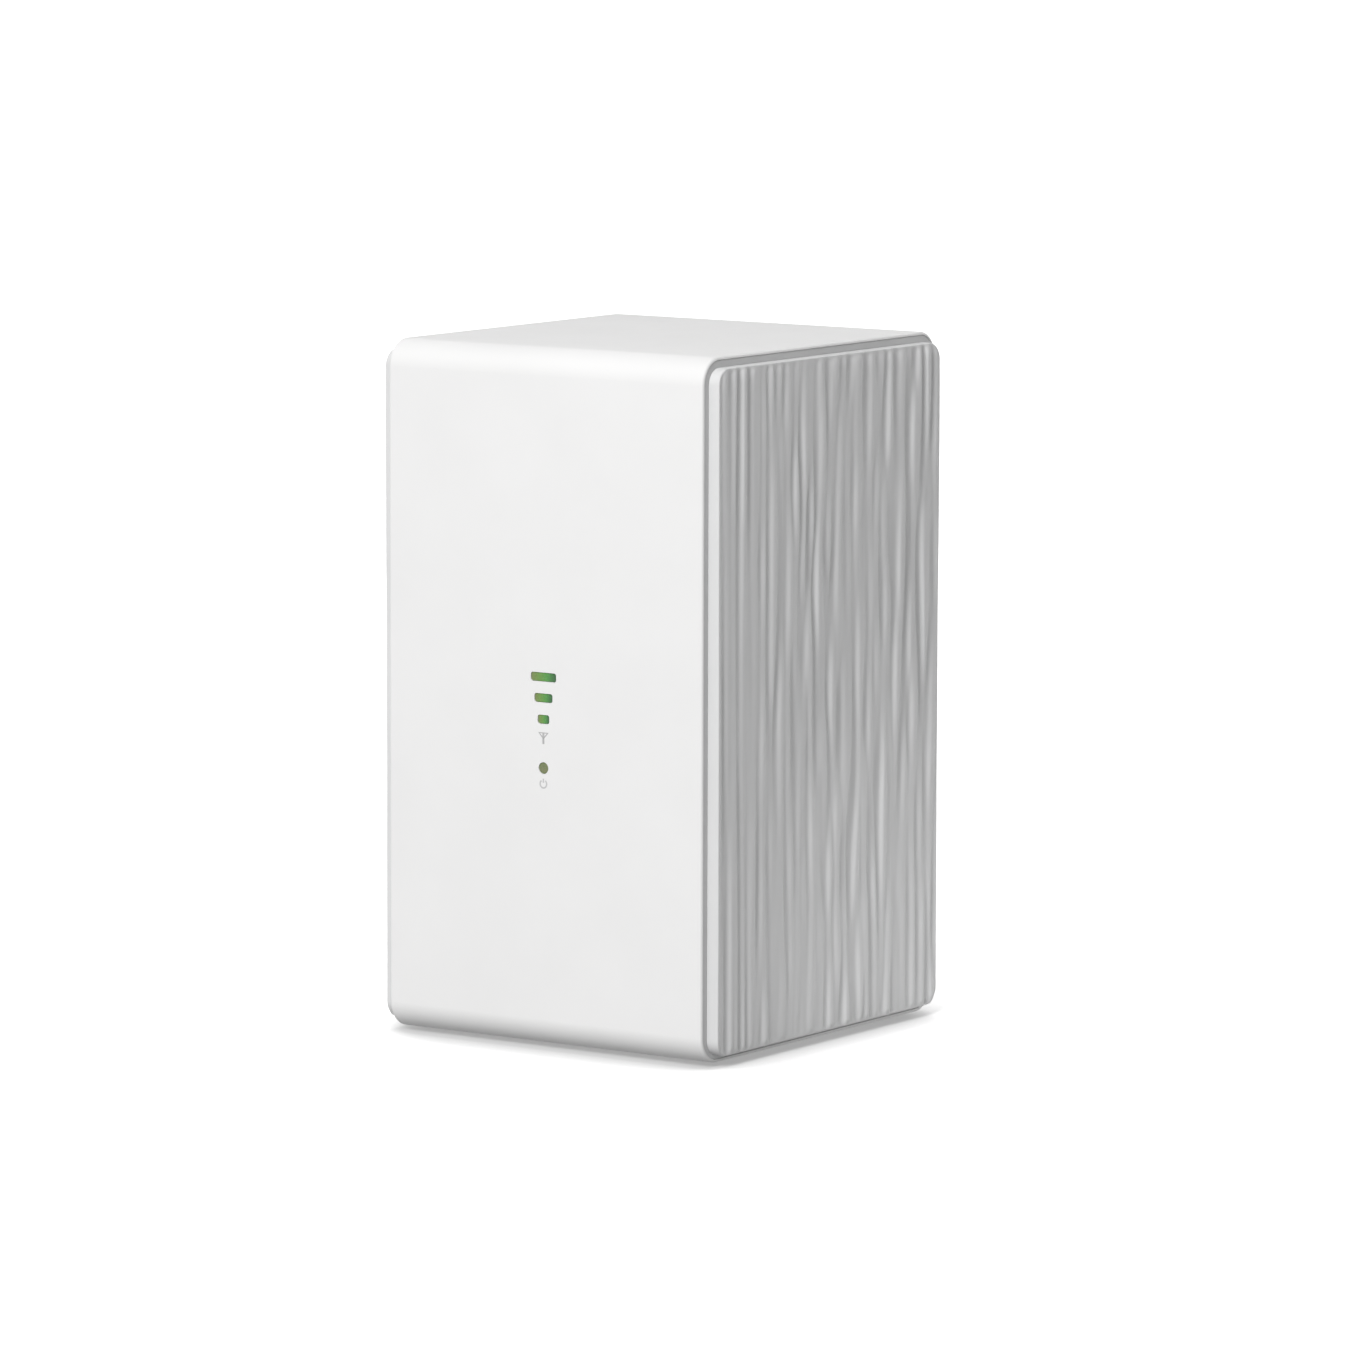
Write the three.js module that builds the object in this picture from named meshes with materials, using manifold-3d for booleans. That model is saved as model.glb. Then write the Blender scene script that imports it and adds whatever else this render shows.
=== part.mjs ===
// A free-standing mesh wifi node: a white sleeve closed by ribbed end panels, with its board,
// heatsink, aerials, sockets, push buttons and indicator lights inside.
// Millimetres, +Z up. The indicator face looks along -Y, the socket plate along +Y.
import * as THREE from "three";
import { mergeVertices } from "three/addons/utils/BufferGeometryUtils.js";
import Module from "manifold-3d";

const wasm = await Module();
wasm.setup();

// ---------------------------------------------------------------- driving dimensions
const WIDTH = 87.6;
const DEPTH = 90;
const HEIGHT = 151;
const PANEL_PROUD = 2.8; // how far a ribbed panel stands out from the sleeve's end
const FOOT_STAND = 0.8; // air under the sleeve
const CORNER = 6; // the sleeve's outer corner radius
const WALL = 2.4;
const EDGE = 0.6; // small rounding on outer edges
const LEDGE = 2.3; // step between the sleeve's outline and the panel's, at the top and the sides
const LOW_LEDGE = 1.6; // the same step along the bottom
const GAP = 0.3; // clearance between pieces
const SEAT = 0.1; // clearance where one face rests on another
const ROUND = 16; // sides of a small round piece

const SLEEVE_END = WIDTH / 2 - PANEL_PROUD;
const FRONT = -DEPTH / 2;
const REAR = DEPTH / 2;
const SLEEVE_HEIGHT = HEIGHT - FOOT_STAND;
const SLEEVE_MID = FOOT_STAND + SLEEVE_HEIGHT / 2;
const FLOOR = FOOT_STAND + WALL; // inner face of the sleeve's bottom wall

// Board stack, from the left end towards the right one.
const PCB = 1.6;
const FRAME_X = -15; // middle of the inner frame's upright plate
const FRAME_THICK = 2;
const BOARD_X = -10; // back face of the main board
const BOARD_FACE = BOARD_X + PCB;
const BOARD_FRONT = -34;
const BOARD_REAR = 36;
const BOARD_LOW = 14;
const BOARD_HIGH = 112;
const BOARD_BOLTS = [
  [-29, 20],
  [-29, 106],
  [8, 20],
  [31, 106],
];
const TRAY_Z = 116; // underside of the tray that carries the aerials
const TRAY_THICK = 2;

// Socket plate.
const PLATE_WIDTH = 34;
const PLATE_LOW = 14;
const PLATE_HIGH = 104;
const PLATE_FACE = REAR - 1.4; // outer face, a little behind the sleeve's skin
const PLATE_BACK = REAR - WALL - SEAT; // where its hidden flange meets the wall
const FLANGE = 1.6;
const JACK = { tall: 13.4, wide: 16, long: 18, heights: [54, 72] };
const JACK_CAVITY = { tall: 7, wide: 11.9, deep: 13 };
const JACK_X = BOARD_FACE + JACK.tall / 2;
const POWER_INLET = { tall: 11, wide: 9, long: 14, z: 24, hole: 6.4, pin: 2 };
const BUTTON_X = BOARD_FACE + 6;
const BUTTONS = {
  power: { z: 37, diameter: 7, travel: 1 },
  pair: { z: 87, diameter: 5, travel: 0.8 },
};
const RESET = { z: 97, hole: 1.8, diameter: 2.8, travel: 0.5 };

// Indicators, from the top of the column down.
const BARS = [
  { name: "long", z: 80.8, width: 6.5 },
  { name: "middle", z: 76.3, width: 4.6 },
  { name: "short", z: 71.7, width: 2.9 },
];
const BAR_HEIGHT = 1.8;
const POWER_LIGHT = { z: 61.2, diameter: 2.4 };
const LIGHT_BOARD_Y = -38; // front face of the small light board
const LIGHT_BOLT_X = 13;
const LIGHT_BOLT_Z = 71;

// Bottom cover.
const COVER = { width: 48, depth: 56, thick: 1.1, rim: 3 };
const COVER_BOLTS = [
  [-17, -21],
  [17, -21],
  [-17, 21],
  [17, 21],
];
const FEET = [
  [-31, -27.5],
  [31, -27.5],
  [-31, 27.5],
  [31, 27.5],
];
const FOOT_DIAMETER = 11;

// ---------------------------------------------------------------- solids
function solidOf(geometry) {
  const bare = geometry.index ? geometry.toNonIndexed() : geometry.clone();
  bare.deleteAttribute("normal");
  bare.deleteAttribute("uv");
  const merged = mergeVertices(bare, 1e-4);
  const mesh = new wasm.Mesh({
    numProp: 3,
    vertProperties: merged.attributes.position.array,
    triVerts: new Uint32Array(merged.index.array),
  });
  return new wasm.Manifold(mesh);
}

function geometryOf(solid) {
  const mesh = solid.getMesh();
  const geometry = new THREE.BufferGeometry();
  geometry.setAttribute("position", new THREE.BufferAttribute(mesh.vertProperties, 3));
  geometry.setIndex(new THREE.BufferAttribute(mesh.triVerts, 1));
  geometry.computeVertexNormals();
  return geometry;
}

function join(...solids) {
  return solids.reduce((whole, next) => whole.add(next));
}

function cut(solid, ...tools) {
  return tools.reduce((whole, tool) => whole.subtract(tool), solid);
}

// A box between two corners.
function block([x0, y0, z0], [x1, y1, z1]) {
  const geometry = new THREE.BoxGeometry(x1 - x0, y1 - y0, z1 - z0);
  geometry.translate((x0 + x1) / 2, (y0 + y1) / 2, (z0 + z1) / 2);
  return solidOf(geometry);
}

// A rounded rectangle about the origin of its own plane.
function outline(width, height, radius) {
  const w = width / 2 - radius;
  const h = height / 2 - radius;
  const quarter = Math.PI / 2;
  const shape = new THREE.Shape();
  shape.absarc(w, h, radius, 0, quarter);
  shape.absarc(-w, h, radius, quarter, 2 * quarter);
  shape.absarc(-w, -h, radius, 2 * quarter, 3 * quarter);
  shape.absarc(w, -h, radius, 3 * quarter, 4 * quarter);
  shape.closePath();
  return shape;
}

// An outline for the X axis is drawn in (Y, Z), for the Y axis in (X, Z), for the Z axis in (X, Y).
const X_AXIS = new THREE.Vector3(1, 0, 0);
const Y_AXIS = new THREE.Vector3(0, 1, 0);
const Z_AXIS = new THREE.Vector3(0, 0, 1);
const ALONG = {
  x: new THREE.Matrix4().makeBasis(Y_AXIS, Z_AXIS, X_AXIS),
  y: new THREE.Matrix4().makeBasis(X_AXIS, Z_AXIS, Y_AXIS.clone().negate()),
  z: new THREE.Matrix4(),
};

// An outline pushed between two values of one axis, moved to its centre in the other two.
function prism(axis, shape, from, to, centre = [0, 0], segments = 2, edge = 0) {
  const geometry = new THREE.ExtrudeGeometry(shape, {
    depth: to - from - 2 * edge,
    curveSegments: segments,
    bevelEnabled: edge > 0,
    bevelThickness: edge,
    bevelSize: edge,
    bevelOffset: -edge,
    bevelSegments: 1,
  });
  const start = axis === "y" ? -to : from;
  geometry.translate(centre[0], centre[1], start + edge);
  geometry.applyMatrix4(ALONG[axis]);
  return solidOf(geometry);
}

function round(axis, diameter, from, to, centre, sides = ROUND, edge = 0) {
  const shape = new THREE.Shape();
  shape.absarc(0, 0, diameter / 2, 0, 2 * Math.PI);
  return prism(axis, shape, from, to, centre, sides / 2, edge);
}

// A thin round lead through a list of points.
function lead(points, diameter) {
  const section = new THREE.Shape();
  section.absarc(0, 0, diameter / 2, 0, 2 * Math.PI);
  const path = new THREE.CatmullRomCurve3(points.map((p) => new THREE.Vector3(...p)));
  const geometry = new THREE.ExtrudeGeometry(section, {
    steps: 10,
    curveSegments: 3,
    extrudePath: path,
    bevelEnabled: false,
  });
  return solidOf(geometry);
}

// ---------------------------------------------------------------- materials
function material(colour, roughness, metalness = 0) {
  return () => new THREE.MeshStandardMaterial({ color: colour, roughness, metalness });
}

const whitePlastic = material(0xf1f2f2, 0.4);
const silverPlastic = material(0xa9abad, 0.38, 0.35);
const greyPlastic = material(0x8f9193, 0.5);
const darkPlastic = material(0x2b2d30, 0.6);
const framePlastic = material(0x3b3d40, 0.65);
const rubber = material(0x3a3b3d, 0.9);
const circuitBoard = material(0x1f5b3a, 0.55);
const blackChip = material(0x1b1c1e, 0.5);
const tinnedSteel = material(0xb9bbbd, 0.35, 0.9);
const aluminium = material(0xb4b7ba, 0.4, 0.9);
const screwSteel = material(0x8d8f92, 0.35, 0.9);
const thermalGrey = material(0x8fa3b5, 0.85);
const clearLens = material(0xdfe8da, 0.3);
const greenLens = material(0x5fa54b, 0.3);
const lampYellow = material(0xd8cf8a, 0.4);
const ribbonWhite = material(0xe6e6e0, 0.5);
const leadBlack = material(0x232427, 0.6);
const copperBoard = material(0x24402f, 0.5);

// ---------------------------------------------------------------- scene graph
const node = new THREE.Group();
node.name = "mesh_wifi_node";

function piece(name, solid, makeMaterial, group = node) {
  const mesh = new THREE.Mesh(geometryOf(solid), makeMaterial());
  mesh.name = name;
  group.add(mesh);
  return mesh;
}

// The sleeve's side view, drawn in by an inset.
function sideOutline(inset, radius = Math.max(CORNER - inset, 1)) {
  return outline(DEPTH - 2 * inset, SLEEVE_HEIGHT - 2 * inset, radius);
}

function sidePrism(inset, from, to, edge = 0) {
  return prism("x", sideOutline(inset), from, to, [0, SLEEVE_MID], 3, edge);
}

// ---------------------------------------------------------------- outer case
const END_SEAT = 1.3; // depth of the rebate that takes an end cover
const END_RIM = 0.7; // white rim left outside that rebate

function wrapSleeve() {
  const outer = sidePrism(0, -SLEEVE_END, SLEEVE_END, EDGE);
  const hollow = sidePrism(WALL, -SLEEVE_END - 1, SLEEVE_END + 1);
  const rebates = [-1, 1].map((side) => {
    const ends = [side * (SLEEVE_END - END_SEAT), side * (SLEEVE_END + 1)];
    return sidePrism(END_RIM, Math.min(...ends), Math.max(...ends));
  });
  const bosses = [-1, 1].map((side) =>
    round("y", 5, FRONT + WALL / 2, LIGHT_BOARD_Y - SEAT, [side * LIGHT_BOLT_X, LIGHT_BOLT_Z]),
  );
  const bossHoles = [-1, 1].map((side) =>
    round("y", 2.4, FRONT + WALL, LIGHT_BOARD_Y + 1, [side * LIGHT_BOLT_X, LIGHT_BOLT_Z]),
  );
  const shell = join(cut(outer, hollow, ...rebates), ...bosses);
  return cut(shell, ...bossHoles, ...lightHoles(SEAT), plateHole(), ...bottomHoles());
}

// Through holes in the front wall for the light guides, each a little larger than its guide.
function lightHoles(clearance) {
  const bars = BARS.map((bar) => barGuide(bar, FRONT - 1, FRONT + WALL + 1, clearance));
  const lamp = lampGuide(FRONT - 1, FRONT + WALL + 1, clearance);
  return [...bars, lamp];
}

function plateHole() {
  const height = PLATE_HIGH - PLATE_LOW;
  const centre = [0, (PLATE_HIGH + PLATE_LOW) / 2];
  return prism("y", outline(PLATE_WIDTH, height, 2), REAR - WALL - 1, REAR + 1, centre);
}

function bottomHoles() {
  const seatTop = FOOT_STAND + COVER.thick + 0.2;
  const seat = outline(COVER.width + 2 * GAP, COVER.depth + 2 * GAP, 3);
  const through = outline(COVER.width - 2 * COVER.rim, COVER.depth - 2 * COVER.rim, 2);
  const pockets = FEET.map((at) =>
    round("z", FOOT_DIAMETER + 2 * GAP, FOOT_STAND - 1, FOOT_STAND + 1, at),
  );
  return [
    prism("z", seat, FOOT_STAND - 1, seatTop),
    prism("z", through, FOOT_STAND, FLOOR + 1),
    ...pockets,
  ];
}

const PEG_PLACES = [
  [-30, 20],
  [30, 20],
  [-30, 130],
  [30, 130],
];
const PEG = 4;
const END_COVER_FACE = SLEEVE_END - SEAT;

function endCover() {
  const lip = sidePrism(END_RIM + GAP, SLEEVE_END - END_SEAT + SEAT, END_COVER_FACE);
  const plug = sidePrism(WALL + GAP, SLEEVE_END - END_SEAT - 2, SLEEVE_END - END_SEAT + SEAT);
  const back = SLEEVE_END - END_SEAT - 2;
  const top = HEIGHT - WALL - GAP;
  const hooks = [-24, 24].flatMap((y) => [
    block([back - 4, y - 4, top - 1.8], [back, y + 4, top]),
    block([back - 4, y - 4, FLOOR + GAP], [back, y + 4, FLOOR + GAP + 1.8]),
  ]);
  const holes = PEG_PLACES.map((at) => round("x", PEG + 2 * GAP, back - 1, WIDTH / 2, at, 12));
  return cut(join(lip, plug, ...hooks), ...holes);
}

function endPanel() {
  const tall = SLEEVE_HEIGHT - LEDGE - LOW_LEDGE;
  const face = outline(DEPTH - 2 * LEDGE, tall, CORNER - LEDGE);
  const middle = [0, SLEEVE_MID - (LEDGE - LOW_LEDGE) / 2];
  const slab = prism("x", face, SLEEVE_END + SEAT, WIDTH / 2, middle, 3, EDGE);
  const pegs = PEG_PLACES.map((at) =>
    round("x", PEG, SLEEVE_END - END_SEAT - 2, SLEEVE_END + 1, at, 12),
  );
  return join(slab, ...pegs);
}

// The left end is the right one turned half way round.
function addEnds() {
  for (const [side, turn] of [["right", 0], ["left", Math.PI]]) {
    const end = new THREE.Group();
    end.rotation.z = turn;
    node.add(end);
    piece(`end_cover_${side}`, endCover(), greyPlastic, end);
    piece(`ribbed_panel_${side}`, endPanel(), silverPlastic, end);
  }
}

// ---------------------------------------------------------------- bottom
const COVER_TOP = FOOT_STAND + SEAT + COVER.thick;
const CUP = { outer: 7.6, bore: 5.6, hole: 3.2, top: FLOOR };
const HEAD = { low: FOOT_STAND + 0.3, high: FOOT_STAND + 1.3, diameter: 5 };
const SHANK = 2.6; // of the cover and board screws
const PILOT = SHANK + 2 * GAP;
const BOSS = { diameter: 7, top: FLOOR + 7 };

function bottomCover() {
  const plate = prism("z", outline(COVER.width, COVER.depth, 3), FOOT_STAND + SEAT, COVER_TOP);
  const cups = COVER_BOLTS.map((at) => round("z", CUP.outer, FOOT_STAND + SEAT, CUP.top, at));
  const bores = COVER_BOLTS.map((at) => round("z", CUP.bore, 0, HEAD.high + SEAT, at));
  const holes = COVER_BOLTS.map((at) => round("z", CUP.hole, 0, CUP.top + 1, at, 12));
  return cut(join(plate, ...cups), ...bores, ...holes, ...ventSlots(0, CUP.top));
}

function ventSlots(low, high) {
  const places = [-12, -6, 0, 6, 12];
  return places.map((y) => block([-12, y - 1, low], [12, y + 1, high]));
}

function foot([x, y]) {
  const profile = [
    [0, 0],
    [FOOT_DIAMETER / 2 - 0.5, 0],
    [FOOT_DIAMETER / 2, 0.5],
    [FOOT_DIAMETER / 2, FOOT_STAND + 1 - SEAT],
    [0, FOOT_STAND + 1 - SEAT],
  ].map(([r, z]) => new THREE.Vector2(r, z));
  const geometry = new THREE.LatheGeometry(profile, ROUND);
  geometry.rotateX(Math.PI / 2); // the lathe turns about Y
  geometry.translate(x, y, 0);
  return solidOf(geometry);
}

// A flat head and its shank on one axis. The two overlap a little, so they join into one piece.
function screw(axis, at, head, shank) {
  return join(
    round(axis, head.diameter, head.from, head.to, at, 12),
    round(axis, shank.diameter, shank.from, shank.to, at, 8),
  );
}

function addBottom() {
  piece("bottom_cover", bottomCover(), greyPlastic);
  FEET.forEach((at, i) => piece(`rubber_foot_${i + 1}`, foot(at), rubber));
  COVER_BOLTS.forEach((at, i) => {
    const head = { diameter: HEAD.diameter, from: HEAD.low, to: HEAD.high };
    const shank = { diameter: SHANK, from: HEAD.high - 0.2, to: BOSS.top - 1 };
    piece(`cover_screw_${i + 1}`, screw("z", at, head, shank), screwSteel);
  });
}

// ---------------------------------------------------------------- inner frame
const DECK = { width: 54, depth: 62, low: FLOOR + SEAT, thick: 2 };
const AERIAL_X = 30;
const AERIAL_Y = 30;
const RAIL = { tall: 4, thick: 1.2 };
const AERIAL_THICK = 0.8;
const TRAY_TOP = TRAY_Z + TRAY_THICK;
const LEAD_DIAMETER = 1.3;
const LEAD_X = -4; // where the leads pass the tray
const LEAD_Y = { front: -24, right: -12, left: 8, rear: 20 };

function innerFrame() {
  const half = FRAME_THICK / 2;
  const upright = block([FRAME_X - half, -34, DECK.low], [FRAME_X + half, 38, TRAY_TOP]);
  const deck = prism("z", outline(DECK.width, DECK.depth, 3), DECK.low, DECK.low + DECK.thick);
  const tray = prism("z", outline(68, 68, 3), TRAY_Z, TRAY_TOP);
  const posts = BOARD_BOLTS.map((at) => round("x", 6, FRAME_X, BOARD_X - SEAT, at, 12));
  const postHoles = BOARD_BOLTS.map((at) => round("x", PILOT, FRAME_X - 3, BOARD_X, at, 8));
  const bosses = COVER_BOLTS.map((at) => round("z", BOSS.diameter, DECK.low, BOSS.top, at, 12));
  const bossHoles = COVER_BOLTS.map((at) => round("z", PILOT, 0, BOSS.top + 1, at, 12));
  const leadHoles = Object.values(LEAD_Y).map((y) =>
    round("z", LEAD_DIAMETER + 2, TRAY_Z - 1, TRAY_TOP + 1, [LEAD_X, y], 8),
  );
  const body = join(upright, deck, tray, ...posts, ...bosses, ...aerialRails());
  return cut(body, ...postHoles, ...bossHoles, ...leadHoles, ...ventSlots(0, FLOOR + 3));
}

// Two rails grip each upright aerial board.
function aerialRails() {
  const inner = AERIAL_THICK / 2 + GAP;
  const outer = inner + RAIL.thick;
  const top = TRAY_TOP + RAIL.tall;
  const rails = [];
  for (const side of [-1, 1]) {
    for (const [near, far] of [[inner, outer], [-outer, -inner]]) {
      const x = side * AERIAL_X;
      const y = side * AERIAL_Y;
      rails.push(block([x + near, -14, TRAY_TOP - 0.5], [x + far, 14, top]));
      rails.push(block([-12, y + near, TRAY_TOP - 0.5], [12, y + far, top]));
    }
  }
  return rails;
}

// ---------------------------------------------------------------- main board
const LEAD_SOCKET = { diameter: 2.4, top: BOARD_FACE + 1.2, z: BOARD_HIGH - 2 };

function mainBoard() {
  const board = block([BOARD_X, BOARD_FRONT, BOARD_LOW], [BOARD_FACE, BOARD_REAR, BOARD_HIGH]);
  const holes = BOARD_BOLTS.map((at) => round("x", 3.4, BOARD_X - 1, BOARD_FACE + 1, at, 12));
  const sockets = Object.values(LEAD_Y).map((y) =>
    round("x", LEAD_SOCKET.diameter, BOARD_FACE - 0.5, LEAD_SOCKET.top, [y, LEAD_SOCKET.z], 8),
  );
  return join(cut(board, ...holes), ...sockets);
}

function addBoard() {
  piece("inner_frame", innerFrame(), framePlastic);
  piece("main_board", mainBoard(), circuitBoard);
  BOARD_BOLTS.forEach((at, i) => {
    const head = { diameter: 5.2, from: BOARD_FACE + SEAT, to: BOARD_FACE + 1.8 };
    const shank = { diameter: SHANK, from: FRAME_X, to: BOARD_FACE + 0.5 };
    piece(`board_screw_${i + 1}`, screw("x", at, head, shank), screwSteel);
  });
}

// A chip or can on the board's face: its middle in (Y, Z), its size in the same order.
function onBoard([y, z], [wide, tall], low, high) {
  return block([low, y - wide / 2, z - tall / 2], [high, y + wide / 2, z + tall / 2]);
}

const CHIP = { at: [-10, 66], side: 14, thick: 1.4 };
const PAD_THICK = 0.9;
const HEATSINK = { from: -28, to: 8, low: 50, high: 84, base: 2.4, fin: 1.2, rise: 12, fins: 7 };

function heatsink() {
  const seat = BOARD_FACE + SEAT + CHIP.thick + SEAT + PAD_THICK + SEAT;
  const base = seat + HEATSINK.base;
  const pitch = (HEATSINK.to - HEATSINK.from - HEATSINK.fin) / (HEATSINK.fins - 1);
  const shape = new THREE.Shape();
  shape.moveTo(seat, HEATSINK.from);
  for (let i = 0; i < HEATSINK.fins; i++) {
    const low = HEATSINK.from + i * pitch;
    const high = low + HEATSINK.fin;
    if (i > 0) shape.lineTo(base, low);
    shape.lineTo(base + HEATSINK.rise, low);
    shape.lineTo(base + HEATSINK.rise, high);
    if (i < HEATSINK.fins - 1) shape.lineTo(base, high);
  }
  shape.lineTo(seat, HEATSINK.to);
  shape.closePath();
  return prism("z", shape, HEATSINK.low, HEATSINK.high);
}

function shieldCan(at, size) {
  const low = BOARD_FACE + SEAT;
  const skin = 0.3;
  const lid = onBoard(at, size, low, low + 3);
  const hollow = onBoard(at, size.map((s) => s - 2 * skin), low - 1, low + 3 - skin);
  return cut(lid, hollow);
}

function addChips() {
  const chipTop = BOARD_FACE + SEAT + CHIP.thick;
  const side = [CHIP.side, CHIP.side];
  piece("processor_chip", onBoard(CHIP.at, side, BOARD_FACE + SEAT, chipTop), blackChip);
  piece("thermal_pad", onBoard(CHIP.at, side, chipTop + SEAT, chipTop + SEAT + PAD_THICK), thermalGrey);
  piece("heatsink", heatsink(), aluminium);
  piece("shield_can_upper", shieldCan([-8, 96], [32, 18]), tinnedSteel);
  piece("shield_can_lower", shieldCan([-12, 32], [28, 20]), tinnedSteel);
  const blockTop = BOARD_FACE + SEAT + 5;
  piece("ethernet_transformer", onBoard([16, 63], [8, 22], BOARD_FACE + SEAT, blockTop), blackChip);
  const canTop = BOARD_FACE + SEAT + 12;
  piece("input_capacitor", round("x", 8, BOARD_FACE + SEAT, canTop, [20, 34], ROUND), aluminium);
}

// ---------------------------------------------------------------- sockets
function ethernetJack(z) {
  const front = PLATE_FACE;
  const back = front - JACK.long;
  const half = JACK.wide / 2;
  const low = BOARD_FACE + SEAT;
  const body = block([low, back, z - half], [low + JACK.tall, front, z + half]);
  const floor = low + 2.2;
  const wide = JACK_CAVITY.wide / 2;
  const top = floor + JACK_CAVITY.tall;
  const cavity = block([floor, front - JACK_CAVITY.deep, z - wide], [top, front + 1, z + wide]);
  const latch = block([top - 1, front - JACK_CAVITY.deep, z - 3.2], [top + 1.6, front + 1, z + 3.2]);
  const tongue = block([top, front - JACK_CAVITY.deep, z - 1.8], [top + 2.8, front + 1, z + 1.8]);
  return cut(body, cavity, latch, tongue);
}

function powerInlet() {
  const front = PLATE_FACE;
  const low = BOARD_FACE + SEAT;
  const { tall, wide, long, z, hole, pin } = POWER_INLET;
  const centre = [low + tall / 2, z];
  const body = block([low, front - long, z - wide / 2], [low + tall, front, z + wide / 2]);
  const bore = round("y", hole, front - 10, front + 1, centre);
  return join(cut(body, bore), round("y", pin, front - 10.5, front - 1, centre, 8));
}

// ---------------------------------------------------------------- push buttons
const CAP_STEM = 3; // diameter
const SWITCH_NOSE = 37.3; // rear tip of a switch's plunger
const CAP_BACK_GAP = 0.2; // left between the cap and the switch when pressed home

function buttonCap({ z, diameter, travel }) {
  const centre = [BUTTON_X, z];
  const tip = SWITCH_NOSE + travel + CAP_BACK_GAP;
  const flangeFront = PLATE_BACK - FLANGE - GAP;
  const cap = round("y", diameter, flangeFront - 0.5, PLATE_FACE + travel - 0.3, centre, ROUND, 0.3);
  const flange = round("y", diameter + 2, flangeFront - 1, flangeFront, centre);
  const stem = round("y", CAP_STEM, tip, flangeFront - 0.5, centre, 8);
  return join(cap, flange, stem);
}

function resetPin() {
  const tip = SWITCH_NOSE + RESET.travel + CAP_BACK_GAP;
  return round("y", RESET.diameter, tip, PLATE_BACK - FLANGE - GAP + 1.2, [BUTTON_X, RESET.z], 12);
}

function pushSwitch(z) {
  const low = BOARD_FACE + SEAT;
  const body = block([low, SWITCH_NOSE - 4.5, z - 3], [BUTTON_X + 3, SWITCH_NOSE - 1, z + 3]);
  return join(body, round("y", 3.2, SWITCH_NOSE - 1.5, SWITCH_NOSE, [BUTTON_X, z], 12));
}

function socketPlate() {
  const height = PLATE_HIGH - PLATE_LOW;
  const centre = [0, (PLATE_HIGH + PLATE_LOW) / 2];
  const face = outline(PLATE_WIDTH - 2 * GAP, height - 2 * GAP, 1.7);
  const flange = outline(PLATE_WIDTH + 5, height + 5, 2);
  const low = BOARD_FACE + SEAT;
  const jackHoles = JACK.heights.map((z) =>
    block(
      [low - GAP, REAR - 10, z - JACK.wide / 2 - GAP],
      [low + JACK.tall + GAP, REAR, z + JACK.wide / 2 + GAP],
    ),
  );
  const inletHole = block(
    [low - GAP, REAR - 10, POWER_INLET.z - POWER_INLET.wide / 2 - GAP],
    [low + POWER_INLET.tall + GAP, REAR, POWER_INLET.z + POWER_INLET.wide / 2 + GAP],
  );
  const buttonHoles = Object.values(BUTTONS).map(({ z, diameter }) =>
    round("y", diameter + 2 * GAP, REAR - 10, REAR, [BUTTON_X, z]),
  );
  const resetAt = [BUTTON_X, RESET.z];
  const resetGuide = round("y", RESET.diameter + 2 * GAP, REAR - 10, PLATE_FACE - 1.2, resetAt, 12);
  const resetHole = round("y", RESET.hole, REAR - 10, REAR, resetAt, 10);
  const plate = join(
    prism("y", face, PLATE_BACK - FLANGE, PLATE_FACE, centre),
    prism("y", flange, PLATE_BACK - FLANGE, PLATE_BACK, centre, 1),
  );
  return cut(plate, ...jackHoles, inletHole, ...buttonHoles, resetGuide, resetHole);
}

function addRear() {
  piece("socket_plate", socketPlate(), greyPlastic);
  JACK.heights.forEach((z, i) => piece(`ethernet_jack_${i + 1}`, ethernetJack(z), darkPlastic));
  piece("power_inlet", powerInlet(), darkPlastic);
  for (const [name, button] of Object.entries(BUTTONS)) {
    piece(`${name}_button`, buttonCap(button), silverPlastic);
    piece(`${name}_switch`, pushSwitch(button.z), blackChip);
  }
  piece("reset_pin", resetPin(), greyPlastic);
  piece("reset_switch", pushSwitch(RESET.z), blackChip);
}

// ---------------------------------------------------------------- indicators
const GUIDE_BACK = -40.4;
const GUIDE_FLANGE = { front: FRONT + WALL + SEAT, thick: 0.8, margin: 0.7 };

function barGuide({ z, width }, from, to, margin = 0) {
  const shape = outline(width + 2 * margin, BAR_HEIGHT + 2 * margin, BAR_HEIGHT / 4);
  return prism("y", shape, from, to, [0, z], 1);
}

function lampGuide(from, to, margin = 0) {
  return round("y", POWER_LIGHT.diameter + 2 * margin, from, to, [0, POWER_LIGHT.z], ROUND);
}

// A clear guide flush with the front skin, held by a flange behind the wall.
function guide(section) {
  const { front, thick, margin } = GUIDE_FLANGE;
  return join(section(FRONT, GUIDE_BACK), section(front, front + thick, margin));
}

function lightBaffle() {
  const front = GUIDE_FLANGE.front + GUIDE_FLANGE.thick + SEAT;
  const back = LIGHT_BOARD_Y - SEAT;
  const body = prism("y", outline(18, 29, 1.5), front, back, [0, LIGHT_BOLT_Z], 1);
  const wells = BARS.map((bar) => barGuide(bar, front - 1, back + 1, GAP));
  return cut(body, ...wells, lampGuide(front - 1, back + 1, GAP));
}

const LAMP = { width: 2, height: 1.2, tall: 0.9 };

function lamp(z) {
  const front = LIGHT_BOARD_Y - SEAT - LAMP.tall;
  const { width, height } = LAMP;
  return block([-width / 2, front, z - height / 2], [width / 2, LIGHT_BOARD_Y - SEAT, z + height / 2]);
}

function lightBoard() {
  const back = LIGHT_BOARD_Y + 1.2;
  const board = prism("y", outline(33, 29, 2), LIGHT_BOARD_Y, back, [0, LIGHT_BOLT_Z], 1);
  const holes = [-1, 1].map((side) =>
    round("y", 3, LIGHT_BOARD_Y - 1, back + 1, [side * LIGHT_BOLT_X, LIGHT_BOLT_Z], 12),
  );
  return cut(board, ...holes);
}

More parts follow.
